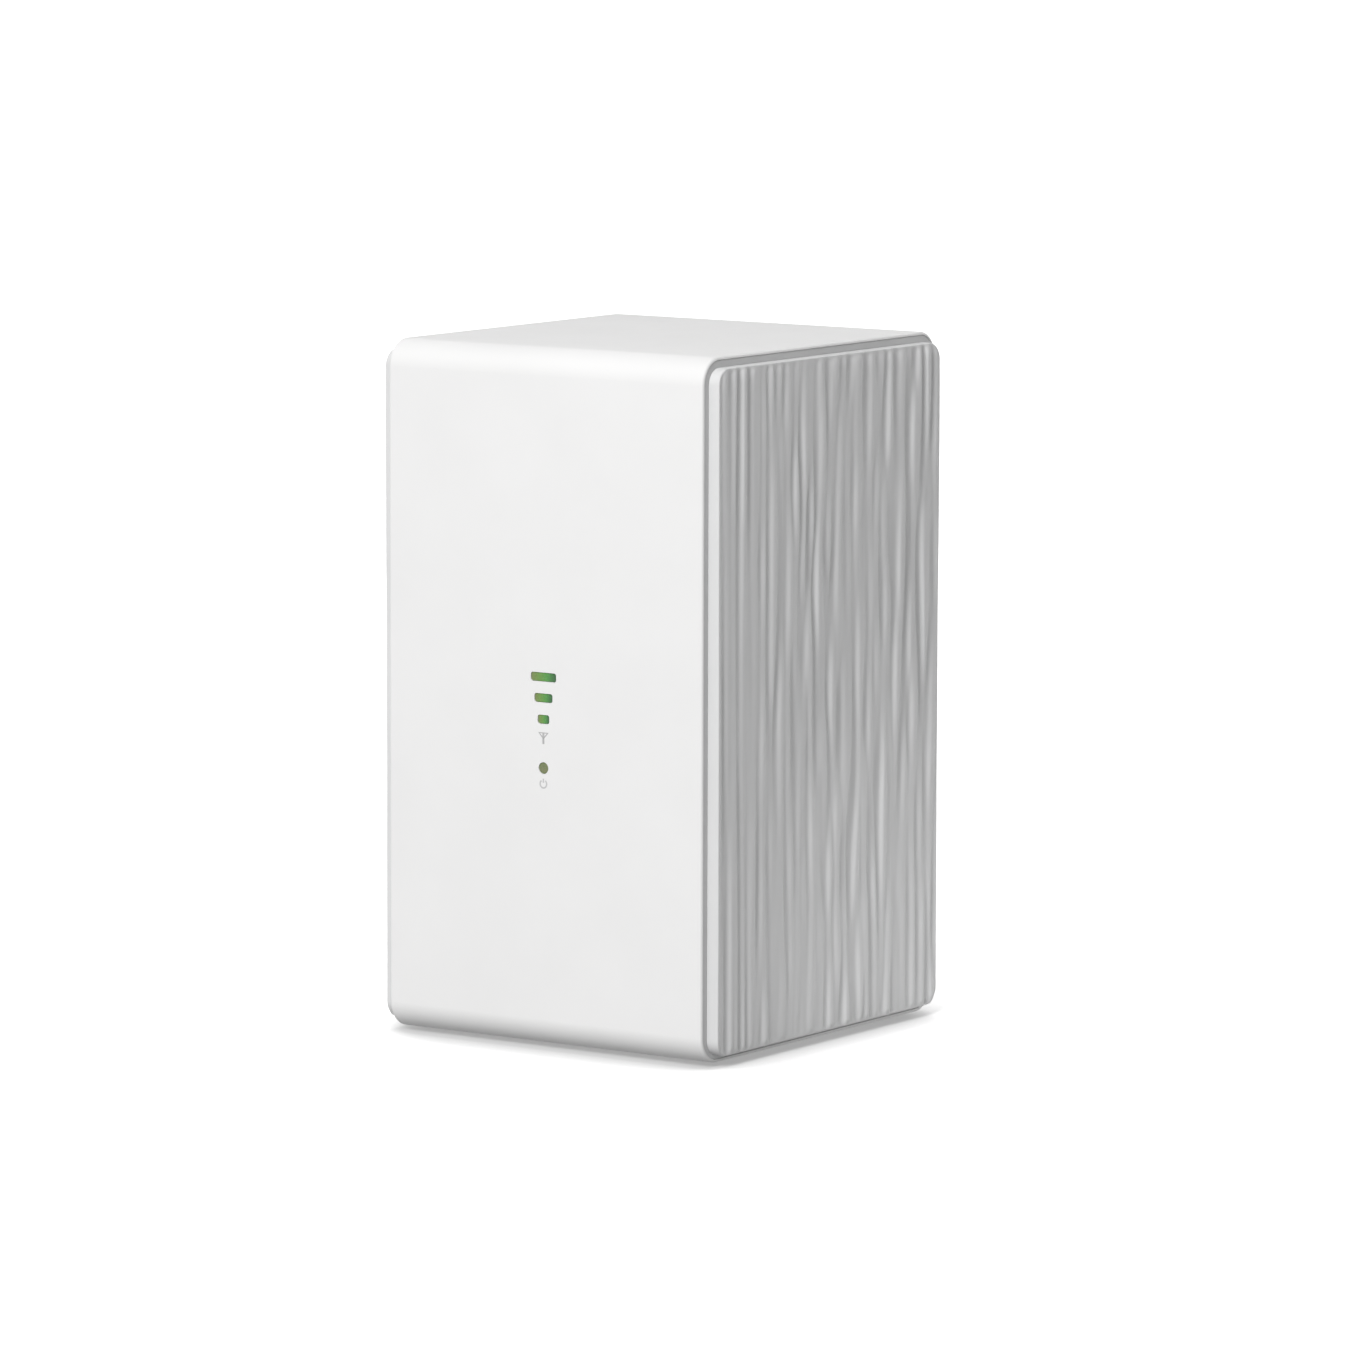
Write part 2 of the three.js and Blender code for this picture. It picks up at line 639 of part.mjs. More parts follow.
const RIBBON = { low: -7.5, high: -2.5, thick: 0.3 };

// The ribbon leaves the light board's back, drops, and turns into its socket on the main board.
function lightRibbon() {
  const top = 66;
  const y = LIGHT_BOARD_Y + 1.2 + SEAT;
  const bend = 4;
  const socketZ = 44;
  const shape = new THREE.Shape();
  shape.moveTo(y, top);
  shape.lineTo(y, socketZ + bend);
  shape.absarc(y + bend, socketZ + bend, bend, Math.PI, 1.5 * Math.PI);
  shape.lineTo(y + bend + 2, socketZ);
  shape.lineTo(y + bend + 2, socketZ + RIBBON.thick);
  shape.absarc(y + bend, socketZ + bend, bend - RIBBON.thick, 1.5 * Math.PI, Math.PI, true);
  shape.lineTo(y + RIBBON.thick, top);
  shape.closePath();
  return prism("x", shape, RIBBON.low, RIBBON.high);
}

function ribbonSocket() {
  const y = LIGHT_BOARD_Y + 1.2 + SEAT + 6 + SEAT;
  return block([BOARD_FACE + SEAT, y, 42.8], [RIBBON.high + 0.6, y + 4, 45.6]);
}

function addIndicators() {
  BARS.forEach((bar) => {
    const section = (from, to, margin) => barGuide(bar, from, to, margin);
    piece(`signal_light_guide_${bar.name}`, guide(section), greenLens);
    piece(`signal_lamp_${bar.name}`, lamp(bar.z), lampYellow);
  });
  piece("power_light_guide", guide(lampGuide), clearLens);
  piece("power_lamp", lamp(POWER_LIGHT.z), lampYellow);
  piece("light_baffle", lightBaffle(), darkPlastic);
  piece("light_board", lightBoard(), circuitBoard);
  [-1, 1].forEach((side, i) => {
    const at = [side * LIGHT_BOLT_X, LIGHT_BOLT_Z];
    const back = LIGHT_BOARD_Y + 1.2;
    const head = { diameter: 4, from: back + SEAT, to: back + 1.4 };
    const shank = { diameter: 1.8, from: FRONT + WALL + 0.3, to: back + 0.4 };
    piece(`light_board_screw_${i + 1}`, screw("y", at, head, shank), screwSteel);
  });
  piece("light_ribbon", lightRibbon(), ribbonWhite);
  piece("ribbon_socket", ribbonSocket(), ribbonWhite);
}

// ---------------------------------------------------------------- aerials
const AERIAL_HEIGHT = 22;

const LEAD_END = { off: 2.6, z: 126 }; // how far off its aerial a lead ends, and how high

// Each aerial stands on the tray at one edge and faces inwards; `out` points to that edge.
const AERIALS = {
  left: { out: [-1, 0], length: 40 },
  right: { out: [1, 0], length: 40 },
  front: { out: [0, -1], length: 32 },
  rear: { out: [0, 1], length: 32 },
};

function aerial({ out: [ox, oy], length }) {
  const low = TRAY_TOP + GAP;
  const halfX = ox ? AERIAL_THICK / 2 : length / 2;
  const halfY = oy ? AERIAL_THICK / 2 : length / 2;
  const [x, y] = [ox * AERIAL_X, oy * AERIAL_Y];
  return block([x - halfX, y - halfY, low], [x + halfX, y + halfY, low + AERIAL_HEIGHT]);
}

// From above its socket on the main board, up through the tray and across to the aerial.
function aerialLead({ out: [ox, oy] }, y) {
  const end = [ox * (AERIAL_X - LEAD_END.off), oy * (AERIAL_Y - LEAD_END.off), LEAD_END.z];
  const half = [(LEAD_X + end[0]) / 2, (y + end[1]) / 2, LEAD_END.z - 1];
  const start = [LEAD_SOCKET.top + 1.6, y, BOARD_HIGH];
  const below = [LEAD_X, y, TRAY_Z - 1];
  const above = [LEAD_X, y, TRAY_TOP + 2];
  return lead([start, below, above, half, end], LEAD_DIAMETER);
}

function addAerials() {
  for (const [name, place] of Object.entries(AERIALS)) {
    piece(`aerial_${name}`, aerial(place), copperBoard);
    piece(`aerial_lead_${name}`, aerialLead(place, LEAD_Y[name]), leadBlack);
  }
}

piece("wrap_sleeve", wrapSleeve(), whitePlastic);
addEnds();
addBottom();
addBoard();
addChips();
addRear();
addIndicators();
addAerials();

export default node;
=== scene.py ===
"""Looks of the mesh wifi node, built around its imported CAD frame. Metres, +Z up, front at -Y."""
import math

import bmesh
import bpy
import numpy as np
from mathutils import Matrix, Vector


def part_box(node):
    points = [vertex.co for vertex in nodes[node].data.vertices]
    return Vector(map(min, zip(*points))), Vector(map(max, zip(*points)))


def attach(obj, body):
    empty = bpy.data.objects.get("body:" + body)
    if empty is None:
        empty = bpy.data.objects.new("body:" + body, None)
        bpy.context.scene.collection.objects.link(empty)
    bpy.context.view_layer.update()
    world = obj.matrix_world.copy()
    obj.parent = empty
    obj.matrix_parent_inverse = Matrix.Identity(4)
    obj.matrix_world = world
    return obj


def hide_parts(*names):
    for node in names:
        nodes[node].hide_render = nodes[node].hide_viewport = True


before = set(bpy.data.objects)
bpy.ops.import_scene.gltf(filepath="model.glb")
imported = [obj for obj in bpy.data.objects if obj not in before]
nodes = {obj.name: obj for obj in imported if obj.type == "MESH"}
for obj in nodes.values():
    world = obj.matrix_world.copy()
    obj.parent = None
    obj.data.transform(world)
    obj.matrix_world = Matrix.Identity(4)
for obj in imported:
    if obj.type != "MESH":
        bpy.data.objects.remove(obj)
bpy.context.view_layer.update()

MM = 0.001
HOUSING = "housing"

# ---------------------------------------------------------------- places from the frame
SLEEVE_LO, SLEEVE_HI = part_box("wrap_sleeve")
PANEL_LO, PANEL_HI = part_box("ribbed_panel_right")
COVER_LO, COVER_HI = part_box("end_cover_right")
HALF_DEPTH = (SLEEVE_HI.y - SLEEVE_LO.y) / 2
HALF_TALL = (SLEEVE_HI.z - SLEEVE_LO.z) / 2
MID_Z = (SLEEVE_HI.z + SLEEVE_LO.z) / 2
SLEEVE_END = SLEEVE_HI.x
FRONT = SLEEVE_LO.y
REAR = SLEEVE_HI.y
PLATE_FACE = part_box("socket_plate")[1].y

# ---------------------------------------------------------------- sizes that several pieces share
CORNER = 6 * MM  # outer corner of the sleeve
WALL = 2.4 * MM  # thickness of the sleeve
RIM = 0.7 * MM  # width of the sleeve's rim round an end cover
SEAT = 1.3 * MM  # depth of the step behind that rim
OVERCUT = MM  # how far a cutter reaches past a face
BOTTOM_CORNER = 3 * MM  # corner of the bottom cover
BUTTON_FLANGE = 1.0 * MM  # what each button hides behind the socket plate

# ---------------------------------------------------------------- camera and light
CAMERA_AZIMUTH = 34.69
CAMERA_ELEVATION = 7.338
CAMERA_ROLL = 0.14
CAMERA_DISTANCE = 1.6858
CAMERA_TARGET = (2.32 * MM, 0, 75.76 * MM)
CAMERA_LENS = 205.0
CAMERA_SENSOR = 36
FAR_CLIP = 100
SUN_DISTANCE = 3
WORLD_TONES = ((0, 0.20), (0.44, 0.48), (0.54, 0.235), (1, 0.335))  # from straight down to up


def add_object(name, data):
    made = bpy.data.objects.new(name, data)
    bpy.context.scene.collection.objects.link(made)
    return made


def place_at(azimuth, elevation, distance):
    """A place round the origin; azimuth turns it from straight in front towards the right."""
    azimuth, elevation = math.radians(azimuth), math.radians(elevation)
    return (
        distance * math.sin(azimuth) * math.cos(elevation),
        -distance * math.cos(azimuth) * math.cos(elevation),
        distance * math.sin(elevation),
    )


def look_at(obj, target):
    direction = Vector(target) - obj.location
    obj.rotation_euler = direction.to_track_quat("-Z", "Y").to_euler()


def add_camera():
    back = Vector(place_at(CAMERA_AZIMUTH, CAMERA_ELEVATION, 1))
    data = bpy.data.cameras.new("camera")
    data.lens = CAMERA_LENS
    data.sensor_width = CAMERA_SENSOR
    data.clip_end = FAR_CLIP
    camera = add_object("camera", data)
    camera.location = Vector(CAMERA_TARGET) + back * CAMERA_DISTANCE
    turn = (-back).to_track_quat("-Z", "Y").to_matrix()
    roll = Matrix.Rotation(math.radians(CAMERA_ROLL), 3, "Z")
    camera.rotation_euler = (turn @ roll).to_euler()
    bpy.context.scene.camera = camera


def add_light(name, kind, power, place, target):
    """A light that shows in no mirroring surface."""
    data = bpy.data.lights.new(name, kind)
    data.energy = power
    light = add_object(name, data)
    light.location = place
    look_at(light, target)
    light.visible_glossy = False
    return light


def sun(name, azimuth, elevation, spread, strength):
    """A far soft light on the whole object."""
    place = place_at(azimuth, elevation, SUN_DISTANCE)
    light = add_light(name, "SUN", strength * math.pi, place, (0, 0, 0))
    light.data.angle = math.radians(spread)


def softbox(name, place, target, size, power, spread=180):
    """A square lamp that no camera sees."""
    light = add_light(name, "AREA", power, place, target)
    light.data.shape = "SQUARE"
    light.data.size = size
    light.data.spread = math.radians(spread)
    light.visible_camera = False


def add_world():
    """Dim light from all round: brightest just under the horizon, as from a pale floor."""
    world = bpy.data.worlds.new("studio")
    world.use_nodes = True
    tree = world.node_tree
    place = tree.nodes.new("ShaderNodeTexCoord")
    split = tree.nodes.new("ShaderNodeSeparateXYZ")
    span = tree.nodes.new("ShaderNodeMapRange")
    span.inputs["From Min"].default_value = -1
    ramp = tree.nodes.new("ShaderNodeValToRGB")
    set_stops(ramp, [(position, tint(value)) for position, value in WORLD_TONES])
    background = tree.nodes["Background"]
    tree.links.new(place.outputs["Generated"], split.inputs["Vector"])
    tree.links.new(split.outputs["Z"], span.inputs["Value"])
    tree.links.new(span.outputs["Result"], ramp.inputs["Fac"])
    tree.links.new(ramp.outputs["Color"], background.inputs["Color"])
    bpy.context.scene.world = world


def add_studio():
    sun("key_light", azimuth=8, elevation=33, spread=24, strength=0.565)
    sun("back_light", azimuth=180, elevation=24, spread=40, strength=0.44)
    sun("left_light", azimuth=-125, elevation=20, spread=30, strength=0.38)
    softbox("front_softbox", (0.14, -0.55, 0.55), (0, -0.045, 0.12), size=0.35, power=1.85)
    place, target = (0.16, -0.02, 0.02), (0.044, 0.045, 0.012)
    softbox("low_fill", place, target, size=0.04, power=0.0035, spread=70)
    add_world()
    settings = bpy.context.scene.view_settings
    settings.view_transform = "Standard"
    settings.look = "None"


# ---------------------------------------------------------------- shader helpers
FINE_DEPTH = 0.01 * MM  # bump of a plastic's or metal's own grain
DRIFT_SIZE = 22 * MM  # slow change of tone over a moulding
WEAR_SIZE = 2.5 * MM  # patches of a moulding that are a little smoother or rougher
WEAR_SWING = 0.03
TARNISH_SIZE = 3 * MM
TRACK_SIZE = 2.2 * MM
BLOCK_SIZE = 5 * MM
TRACK_HEIGHT = 0.04 * MM


def tint(value, warm=0.0):
    return (value + warm, value, value - warm)


def set_stops(ramp, stops):
    """Gives a new colour ramp its (position, colour) stops, from left to right."""
    elements = ramp.color_ramp.elements
    first, *between, last = stops
    for element, (position, colour) in ((elements[0], first), (elements[1], last)):
        element.position, element.color = position, (*colour, 1)
    for position, colour in between:
        element = elements.new(position)
        element.color = (*colour, 1)


class Shader:
    """A material's node tree with its main shader, and short ways to add nodes to it."""

    def __init__(self, name):
        self.material = bpy.data.materials.new(name)
        self.material.use_nodes = True
        self.tree = self.material.node_tree
        self.main = self.tree.nodes["Principled BSDF"]
        self.place = self.add("ShaderNodeTexCoord").outputs["Object"]

    def add(self, kind, **values):
        node = self.tree.nodes.new(kind)
        for key, value in values.items():
            setattr(node, key, value)
        return node

    def link(self, source, target):
        self.tree.links.new(source, target)

    def set(self, **values):
        for key, value in values.items():
            self.main.inputs[key.replace("_", " ")].default_value = value

    def noise(self, size, detail=3, stretch=None):
        """Noise with features about `size` metres across; stretch squeezes it along each axis."""
        noise = self.add("ShaderNodeTexNoise")
        noise.inputs["Scale"].default_value = 1 / size
        noise.inputs["Detail"].default_value = detail
        source = self.place
        if stretch:
            mapping = self.add("ShaderNodeMapping")
            mapping.inputs["Scale"].default_value = stretch
            self.link(source, mapping.inputs["Vector"])
            source = mapping.outputs["Vector"]
        self.link(source, noise.inputs["Vector"])
        return noise.outputs["Fac"]

    def cells(self, size):
        """Cells about `size` metres across."""
        cells = self.add("ShaderNodeTexVoronoi")
        cells.inputs["Scale"].default_value = 1 / size
        self.link(self.place, cells.inputs["Vector"])
        return cells

    def ramp(self, source, low, high, start=0.3, end=0.7):
        """Maps values from start to end onto a range of numbers or of colours."""
        if isinstance(low, tuple):
            ramp = self.add("ShaderNodeValToRGB")
            set_stops(ramp, [(start, low), (end, high)])
            self.link(source, ramp.inputs["Fac"])
            return ramp.outputs["Color"]
        span = self.add("ShaderNodeMapRange")
        span.inputs["From Min"].default_value = start
        span.inputs["From Max"].default_value = end
        span.inputs["To Min"].default_value = low
        span.inputs["To Max"].default_value = high
        self.link(source, span.inputs["Value"])
        return span.outputs["Result"]

    def bump(self, height, depth, strength):
        """Adds a bump of `depth` metres below the bumps that are already there."""
        bump = self.add("ShaderNodeBump")
        bump.inputs["Strength"].default_value = strength
        bump.inputs["Distance"].default_value = depth
        self.link(height, bump.inputs["Height"])
        normal = self.main.inputs["Normal"]
        if normal.links:
            self.link(normal.links[0].from_socket, bump.inputs["Normal"])
        self.link(bump.outputs["Normal"], normal)

    def drive(self, name, source):
        self.link(source, self.main.inputs[name])


def moulded(name, dark, light, roughness, grain=0.35 * MM, depth=FINE_DEPTH):
    """Moulded plastic: a fine spark-eroded grain and a slow drift of tone."""
    shader = Shader(name)
    drift = shader.noise(DRIFT_SIZE)
    shader.drive("Base Color", shader.ramp(drift, dark, light, start=0.35, end=0.65))
    wear = shader.noise(WEAR_SIZE, detail=4)
    shader.drive("Roughness", shader.ramp(wear, roughness - WEAR_SWING, roughness + WEAR_SWING))
    shader.bump(shader.noise(grain, detail=2), depth, strength=0.35)
    return shader.material


def metal(name, dark, light, roughness, grain, stretch=None, metallic=1.0):
    """Bare metal: fine drawn or rolled grain, and a little tarnish in its colour."""
    shader = Shader(name)
    shader.set(Metallic=metallic)
    tarnish = shader.noise(TARNISH_SIZE, detail=4)
    shader.drive("Base Color", shader.ramp(tarnish, dark, light))
    lines = shader.noise(grain, detail=4, stretch=stretch)
    shader.drive("Roughness", shader.ramp(lines, roughness - 0.08, roughness + 0.1))
    shader.bump(lines, FINE_DEPTH, strength=0.4)
    return shader.material


def circuit_board(name, dark, light):
    """Solder mask over copper: blocks and tracks that stand a little proud."""
    shader = Shader(name)
    tracks = shader.cells(TRACK_SIZE).outputs["Distance"]
    blocks = shader.cells(BLOCK_SIZE).outputs["Color"]
    mask = shader.ramp(tracks, 0, 1, start=0.28, end=0.34)
    shader.drive("Base Color", shader.ramp(mask, light, dark, start=0, end=1))
    shader.drive("Roughness", shader.ramp(blocks, 0.25, 0.4, start=0, end=1))
    shader.bump(mask, TRACK_HEIGHT, strength=0.5)
    return shader.material


def glow(shader, colour, strength, smoothest, roughest):
    """Clear plastic that shows a colour and sheds a little light of the same colour."""
    shader.drive("Base Color", colour)
    shader.drive("Emission Color", colour)
    shader.set(Emission_Strength=strength)
    shader.drive("Roughness", shader.ramp(shader.noise(0.6 * MM), smoothest, roughest))
    shader.bump(shader.noise(0.4 * MM), FINE_DEPTH, strength=0.3)
    return shader.material


# Stops from the bar's left end to its right; the dim last stops are painted shade, as the hole's
# wall shades that end.
BAR_COLOURS_AND_SHADE = (
    (0.02, (0.14, 0.18, 0.055)),
    (0.3, (0.11, 0.22, 0.04)),
    (0.62, (0.06, 0.23, 0.04)),
    (0.85, (0.032, 0.13, 0.032)),
    (1.0, (0.022, 0.075, 0.026)),
)


def lit_bar(name, half_width):
    """A green bar lit from behind: yellower on its left, purest in the middle, with painted shade
    dimming its right end, where the hole's wall shades it.
    """
    shader = Shader(name)
    split = shader.add("ShaderNodeSeparateXYZ")
    shader.link(shader.place, split.inputs["Vector"])
    across = shader.ramp(split.outputs["X"], 0.0, 1.0, start=-half_width, end=half_width)
    ramp = shader.add("ShaderNodeValToRGB")
    shader.link(across, ramp.inputs["Fac"])
    # these stops paint shade onto the bar's right end
    set_stops(ramp, BAR_COLOURS_AND_SHADE)
    colour = ramp.outputs["Color"]
    return glow(shader, colour, strength=0.22, smoothest=0.22, roughest=0.34)


def lit_lamp(name, dark, light, strength):
    shader = Shader(name)
    colour = shader.ramp(shader.noise(1.4 * MM, detail=2), dark, light)
    return glow(shader, colour, strength, smoothest=0.2, roughest=0.32)


# Case and panels
WHITE = moulded("white_satin_plastic", tint(0.795, 0.002), tint(0.81, 0.002), 0.42)
SILVER = moulded("silver_white_satin", tint(0.68, -0.002), tint(0.70, -0.002), 0.36)
GREY = moulded("light_grey_plastic", tint(0.58, -0.002), tint(0.61, -0.002), 0.5)
PLATE = moulded("pale_grey_plastic", tint(0.50, -0.002), tint(0.53, -0.002), 0.5)
BUTTON = moulded(
    "button_plastic", tint(0.62), tint(0.65), 0.34, grain=0.3 * MM, depth=0.006 * MM
)
BLACK = moulded("black_plastic", tint(0.015), tint(0.024), 0.42)
RUBBER = moulded(
    "foot_rubber", tint(0.05), tint(0.07), 0.75, grain=0.5 * MM, depth=0.02 * MM
)
# Signs
PRINT_GRAIN = {"grain": 0.15 * MM, "depth": 0.004 * MM}
PRINT = moulded("grey_print", tint(0.42), tint(0.47), 0.55, **PRINT_GRAIN)
REAR_PRINT = moulded("dark_print", tint(0.13), tint(0.16), 0.5, **PRINT_GRAIN)
FAINT_PRINT = moulded("pale_print", tint(0.52), tint(0.57), 0.55, **PRINT_GRAIN)
# Lights
POWER_GLOW = lit_lamp("power_light", (0.10, 0.15, 0.05), (0.15, 0.16, 0.075), 0.2)
GREEN_LENS = lit_lamp("socket_lamp_green", (0.02, 0.11, 0.03), (0.03, 0.15, 0.04), 0.05)
AMBER_LENS = lit_lamp("socket_lamp_amber", (0.26, 0.13, 0.02), (0.33, 0.17, 0.03), 0.05)
# Metals
STEEL = metal("screw_steel", (0.52, 0.52, 0.54), (0.62, 0.62, 0.63), 0.28, 0.2 * MM)
TIN = metal("tinned_steel", (0.58, 0.58, 0.57), (0.68, 0.68, 0.66), 0.3, 0.3 * MM, (1, 6, 1))
ALUMINIUM = metal(
    "bare_aluminium", (0.60, 0.61, 0.62), (0.70, 0.71, 0.72), 0.36, 0.3 * MM, (1, 1, 8)
)
GOLD = metal(
    "contact_gold", (0.88, 0.58, 0.20), (0.98, 0.72, 0.30), 0.34, 0.1 * MM, (1, 6, 1), metallic=0.45
)
# What is inside
FRAME = moulded("frame_plastic", tint(0.045), tint(0.06), 0.55)
CHIP = moulded("chip_epoxy", tint(0.018), tint(0.03), 0.6, grain=0.12 * MM, depth=0.008 * MM)
PAD = moulded("thermal_pad", (0.36, 0.40, 0.44), (0.42, 0.46, 0.50), 0.85, grain=0.6 * MM)
RIBBON = moulded("ribbon_white", tint(0.62), tint(0.70), 0.4, grain=0.5 * MM, depth=0.02 * MM)
LEAD = moulded("lead_jacket", tint(0.014), tint(0.022), 0.5, grain=0.4 * MM)
LAMP = moulded("lamp_package", (0.62, 0.60, 0.42), (0.70, 0.68, 0.48), 0.3, grain=0.2 * MM)
BOARD = circuit_board("green_board", (0.010, 0.075, 0.030), (0.022, 0.13, 0.05))
AERIAL = circuit_board("aerial_board", (0.020, 0.055, 0.030), (0.62, 0.36, 0.12))


# ---------------------------------------------------------------- mesh helpers
JOIN_DISTANCE = 1e-6  # points closer than this are one
AXIS_RADIUS = 1e-8  # stands for a radius of 0, and is joined to one point
BEVEL_SEGMENTS = 3
BEVEL_ANGLE = 60
SHARP_ANGLE = 38
FLATNESS = 90  # how much large faces pull the shading normals
CORNER_STEPS = 14  # of the sleeve's corner
RING_SEGMENTS = 48
LATHE_SEGMENTS = 64
SMALL_SEGMENTS = 40  # for pins and screws
FORWARD = -1  # which way along y a sign faces
BACKWARD = 1
SIGN_FLAT = 0.12  # share of its height that a printed line keeps


def outward(mesh, join=False):
    """Turns a mesh's faces outwards; with join, points that meet become one first."""
    shape = bmesh.new()
    shape.from_mesh(mesh)
    if join:
        bmesh.ops.remove_doubles(shape, verts=shape.verts, dist=JOIN_DISTANCE)
    bmesh.ops.recalc_face_normals(shape, faces=shape.faces)
    shape.to_mesh(mesh)
    shape.free()


def new_piece(name, points, faces, material, smooth=True):
    """A mesh object whose faces all look outwards; points that meet are joined."""
    mesh = bpy.data.meshes.new(name)
    mesh.from_pydata([tuple(p) for p in points], [], faces)
    outward(mesh, join=True)
    mesh.materials.append(material)
    if smooth:
        mesh.shade_smooth()
    return add_object(name, mesh)


def rounded_loop(half_u, half_v, radius, segments=8):
    """Points round a rounded rectangle, anticlockwise from the top end of its +u side."""
    loop = []
    centres = [(1, 1, 0), (-1, 1, 90), (-1, -1, 180), (1, -1, 270)]
    for side_u, side_v, start in centres:
        for i in range(segments + 1):
            angle = math.radians(start + 90 * i / segments)
            u = side_u * (half_u - radius) + radius * math.cos(angle)
            v = side_v * (half_v - radius) + radius * math.sin(angle)
            loop.append((u, v))
    return loop


def loft(loops, closed=False, cap=True):
    """Faces that join equal loops of points in turn, with a cap on each open end."""
    count = len(loops[0])
    points = [p for loop in loops for p in loop]
    faces = []
    last = len(loops) if closed else len(loops) - 1
    for j in range(last):
        here, there = j * count, (j + 1) % len(loops) * count
        for i in range(count):
            k = (i + 1) % count
            faces.append((here + i, here + k, there + k, there + i))
    if cap and not closed:
        faces.append(tuple(reversed(range(count))))
        faces.append(tuple((len(loops) - 1) * count + i for i in range(count)))
    return points, faces


def quarter_turns(steps):
    return [math.pi / 2 * i / steps for i in range(steps + 1)]


def fillet(x0, inset0, x1, inset1, steps=5):
    """A quarter round of (x, inset) pairs that leaves (x0, inset0) along x, ends along inset."""
    return [
        (x0 + (x1 - x0) * math.sin(a), inset0 + (inset1 - inset0) * (1 - math.cos(a)))
        for a in quarter_turns(steps)
    ]


def rounded_rim(radius, along, size, steps):
    """(radius, along) pairs round an outer edge, from the side wall to the end face."""
    return [
        (radius - size + size * math.cos(a), along - (size - size * math.sin(a)))
        for a in quarter_turns(steps)
    ]


def ring(radius, segments=RING_SEGMENTS, middle=(0, 0)):
    turns = [2 * math.pi * i / segments for i in range(segments)]
    return [(middle[0] + radius * math.cos(a), middle[1] + radius * math.sin(a)) for a in turns]


def arc(radius, start, end, count):
    turns = [math.radians(start + (end - start) * i / (count - 1)) for i in range(count)]
    return [(radius * math.cos(a), radius * math.sin(a)) for a in turns]


def shifted(flat, middle):
    return [(u + middle[0], v + middle[1]) for u, v in flat]


def from_face(profile, face):
    """(radius, along) pairs in mm from a face, as places in metres."""
    return [(radius * MM, face + along * MM) for radius, along in profile]


def side_loop(x, inset):
    """The outline of the object's side, moved in by inset, at x."""
    radius = max(CORNER - inset, 1 * MM)
    flat = rounded_loop(HALF_DEPTH - inset, HALF_TALL - inset, radius, CORNER_STEPS)
    return [(x, u, v + MID_Z) for u, v in flat]


def place_loop(axis, flat, along):
    """A flat loop of (u, v) points set across an axis: (y, z), (x, z) or (x, y)."""
    if axis == "x":
        return [(along, u, v) for u, v in flat]
    if axis == "y":
        return [(u, along, v) for u, v in flat]
    return [(u, v, along) for u, v in flat]


def prism(name, axis, flat, low, high, material):
    points, faces = loft([place_loop(axis, flat, low), place_loop(axis, flat, high)])
    return new_piece(name, points, faces, material, smooth=False)


def block(name, low, high, material):
    flat = [(low[0], low[1]), (high[0], low[1]), (high[0], high[1]), (low[0], high[1])]
    return prism(name, "z", flat, low[2], high[2], material)


def hole(axis, flat, low, high):
    """A prism to cut away."""
    return prism("cutter", axis, flat, low, high, WHITE)


def box_hole(low, high):
    return block("cutter", low, high, WHITE)


def lathe(name, axis, profile, middle, material, segments=LATHE_SEGMENTS):
    """Turns (radius, along) pairs about an axis through `middle`; a radius of 0 closes an end."""
    loops = [
        place_loop(axis, ring(max(radius, AXIS_RADIUS), segments, middle), along)
        for radius, along in profile
    ]
    points, faces = loft(loops, cap=False)
    return new_piece(name, points, faces, material)


def evaluated_mesh(obj):
    bpy.context.view_layer.update()
    graph = bpy.context.evaluated_depsgraph_get()
    return bpy.data.meshes.new_from_object(obj.evaluated_get(graph), depsgraph=graph)


def apply_modifiers(piece):
    made = evaluated_mesh(piece)
    piece.modifiers.clear()
    old = piece.data
    piece.data = made
    bpy.data.meshes.remove(old)
    made.name = piece.name


def cut(piece, cutters):
    """Cuts each cutter out of the piece, and removes the cutters."""
    for cutter in cutters:
        modifier = piece.modifiers.new("cut", "BOOLEAN")
        modifier.operation = "DIFFERENCE"
        modifier.solver = "EXACT"
        modifier.object = cutter
    apply_modifiers(piece)
    for cutter in cutters:
        bpy.data.objects.remove(cutter)


def finish_mesh(piece, bevel=0.0):
    """Small bevels on sharp edges, sharp shading where faces meet steeply, flat faces kept flat."""
    if bevel:
        modifier = piece.modifiers.new("edges", "BEVEL")
        modifier.width = bevel
        modifier.segments = BEVEL_SEGMENTS
        modifier.limit_method = "ANGLE"
        modifier.angle_limit = math.radians(BEVEL_ANGLE)
        apply_modifiers(piece)
    piece.data.shade_smooth()
    piece.data.set_sharp_from_angle(angle=math.radians(SHARP_ANGLE))
    weighted = piece.modifiers.new("normals", "WEIGHTED_NORMAL")
    weighted.keep_sharp = True
    weighted.weight = FLATNESS
    apply_modifiers(piece)
    return piece


def keep(piece, body, slot, *replaced):
    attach(piece, body)
    if replaced:
        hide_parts(*replaced)


def middle_of(node, axes="xz"):
    """The middle of a CAD piece's box along two of its axes."""
    lo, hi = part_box(node)
    return tuple((getattr(lo, axis) + getattr(hi, axis)) / 2 for axis in axes)


def sign(name, strokes, width, place, facing, material, body, slot, flat=SIGN_FLAT):
    """A printed sign on an upright face: strokes of (u, v) points in mm, as low rounded lines."""
    curve = bpy.data.curves.new(name, "CURVE")
    curve.dimensions = "3D"
    curve.bevel_depth = width / 2
    curve.bevel_resolution = 3
    curve.use_fill_caps = True
    for points, closed in strokes:
        spline = curve.splines.new("POLY")
        spline.points.add(len(points) - 1)
        for point, (u, v) in zip(spline.points, points):
            point.co = (u * MM, v * MM, 0, 1)
        spline.use_cyclic_u = closed
    holder = add_object(name, curve)
    mesh = evaluated_mesh(holder)
    bpy.data.objects.remove(holder)
    mesh.name = name
    x, y, z = place
    for vertex in mesh.vertices:
        u, v, height = vertex.co
        vertex.co = Vector((x - facing * u, y, z + v)) + Vector((0, facing, 0)) * height * flat
    mesh.materials.clear()
    mesh.materials.append(material)
    outward(mesh)
    mesh.shade_smooth()
    keep(add_object(name, mesh), body, slot)


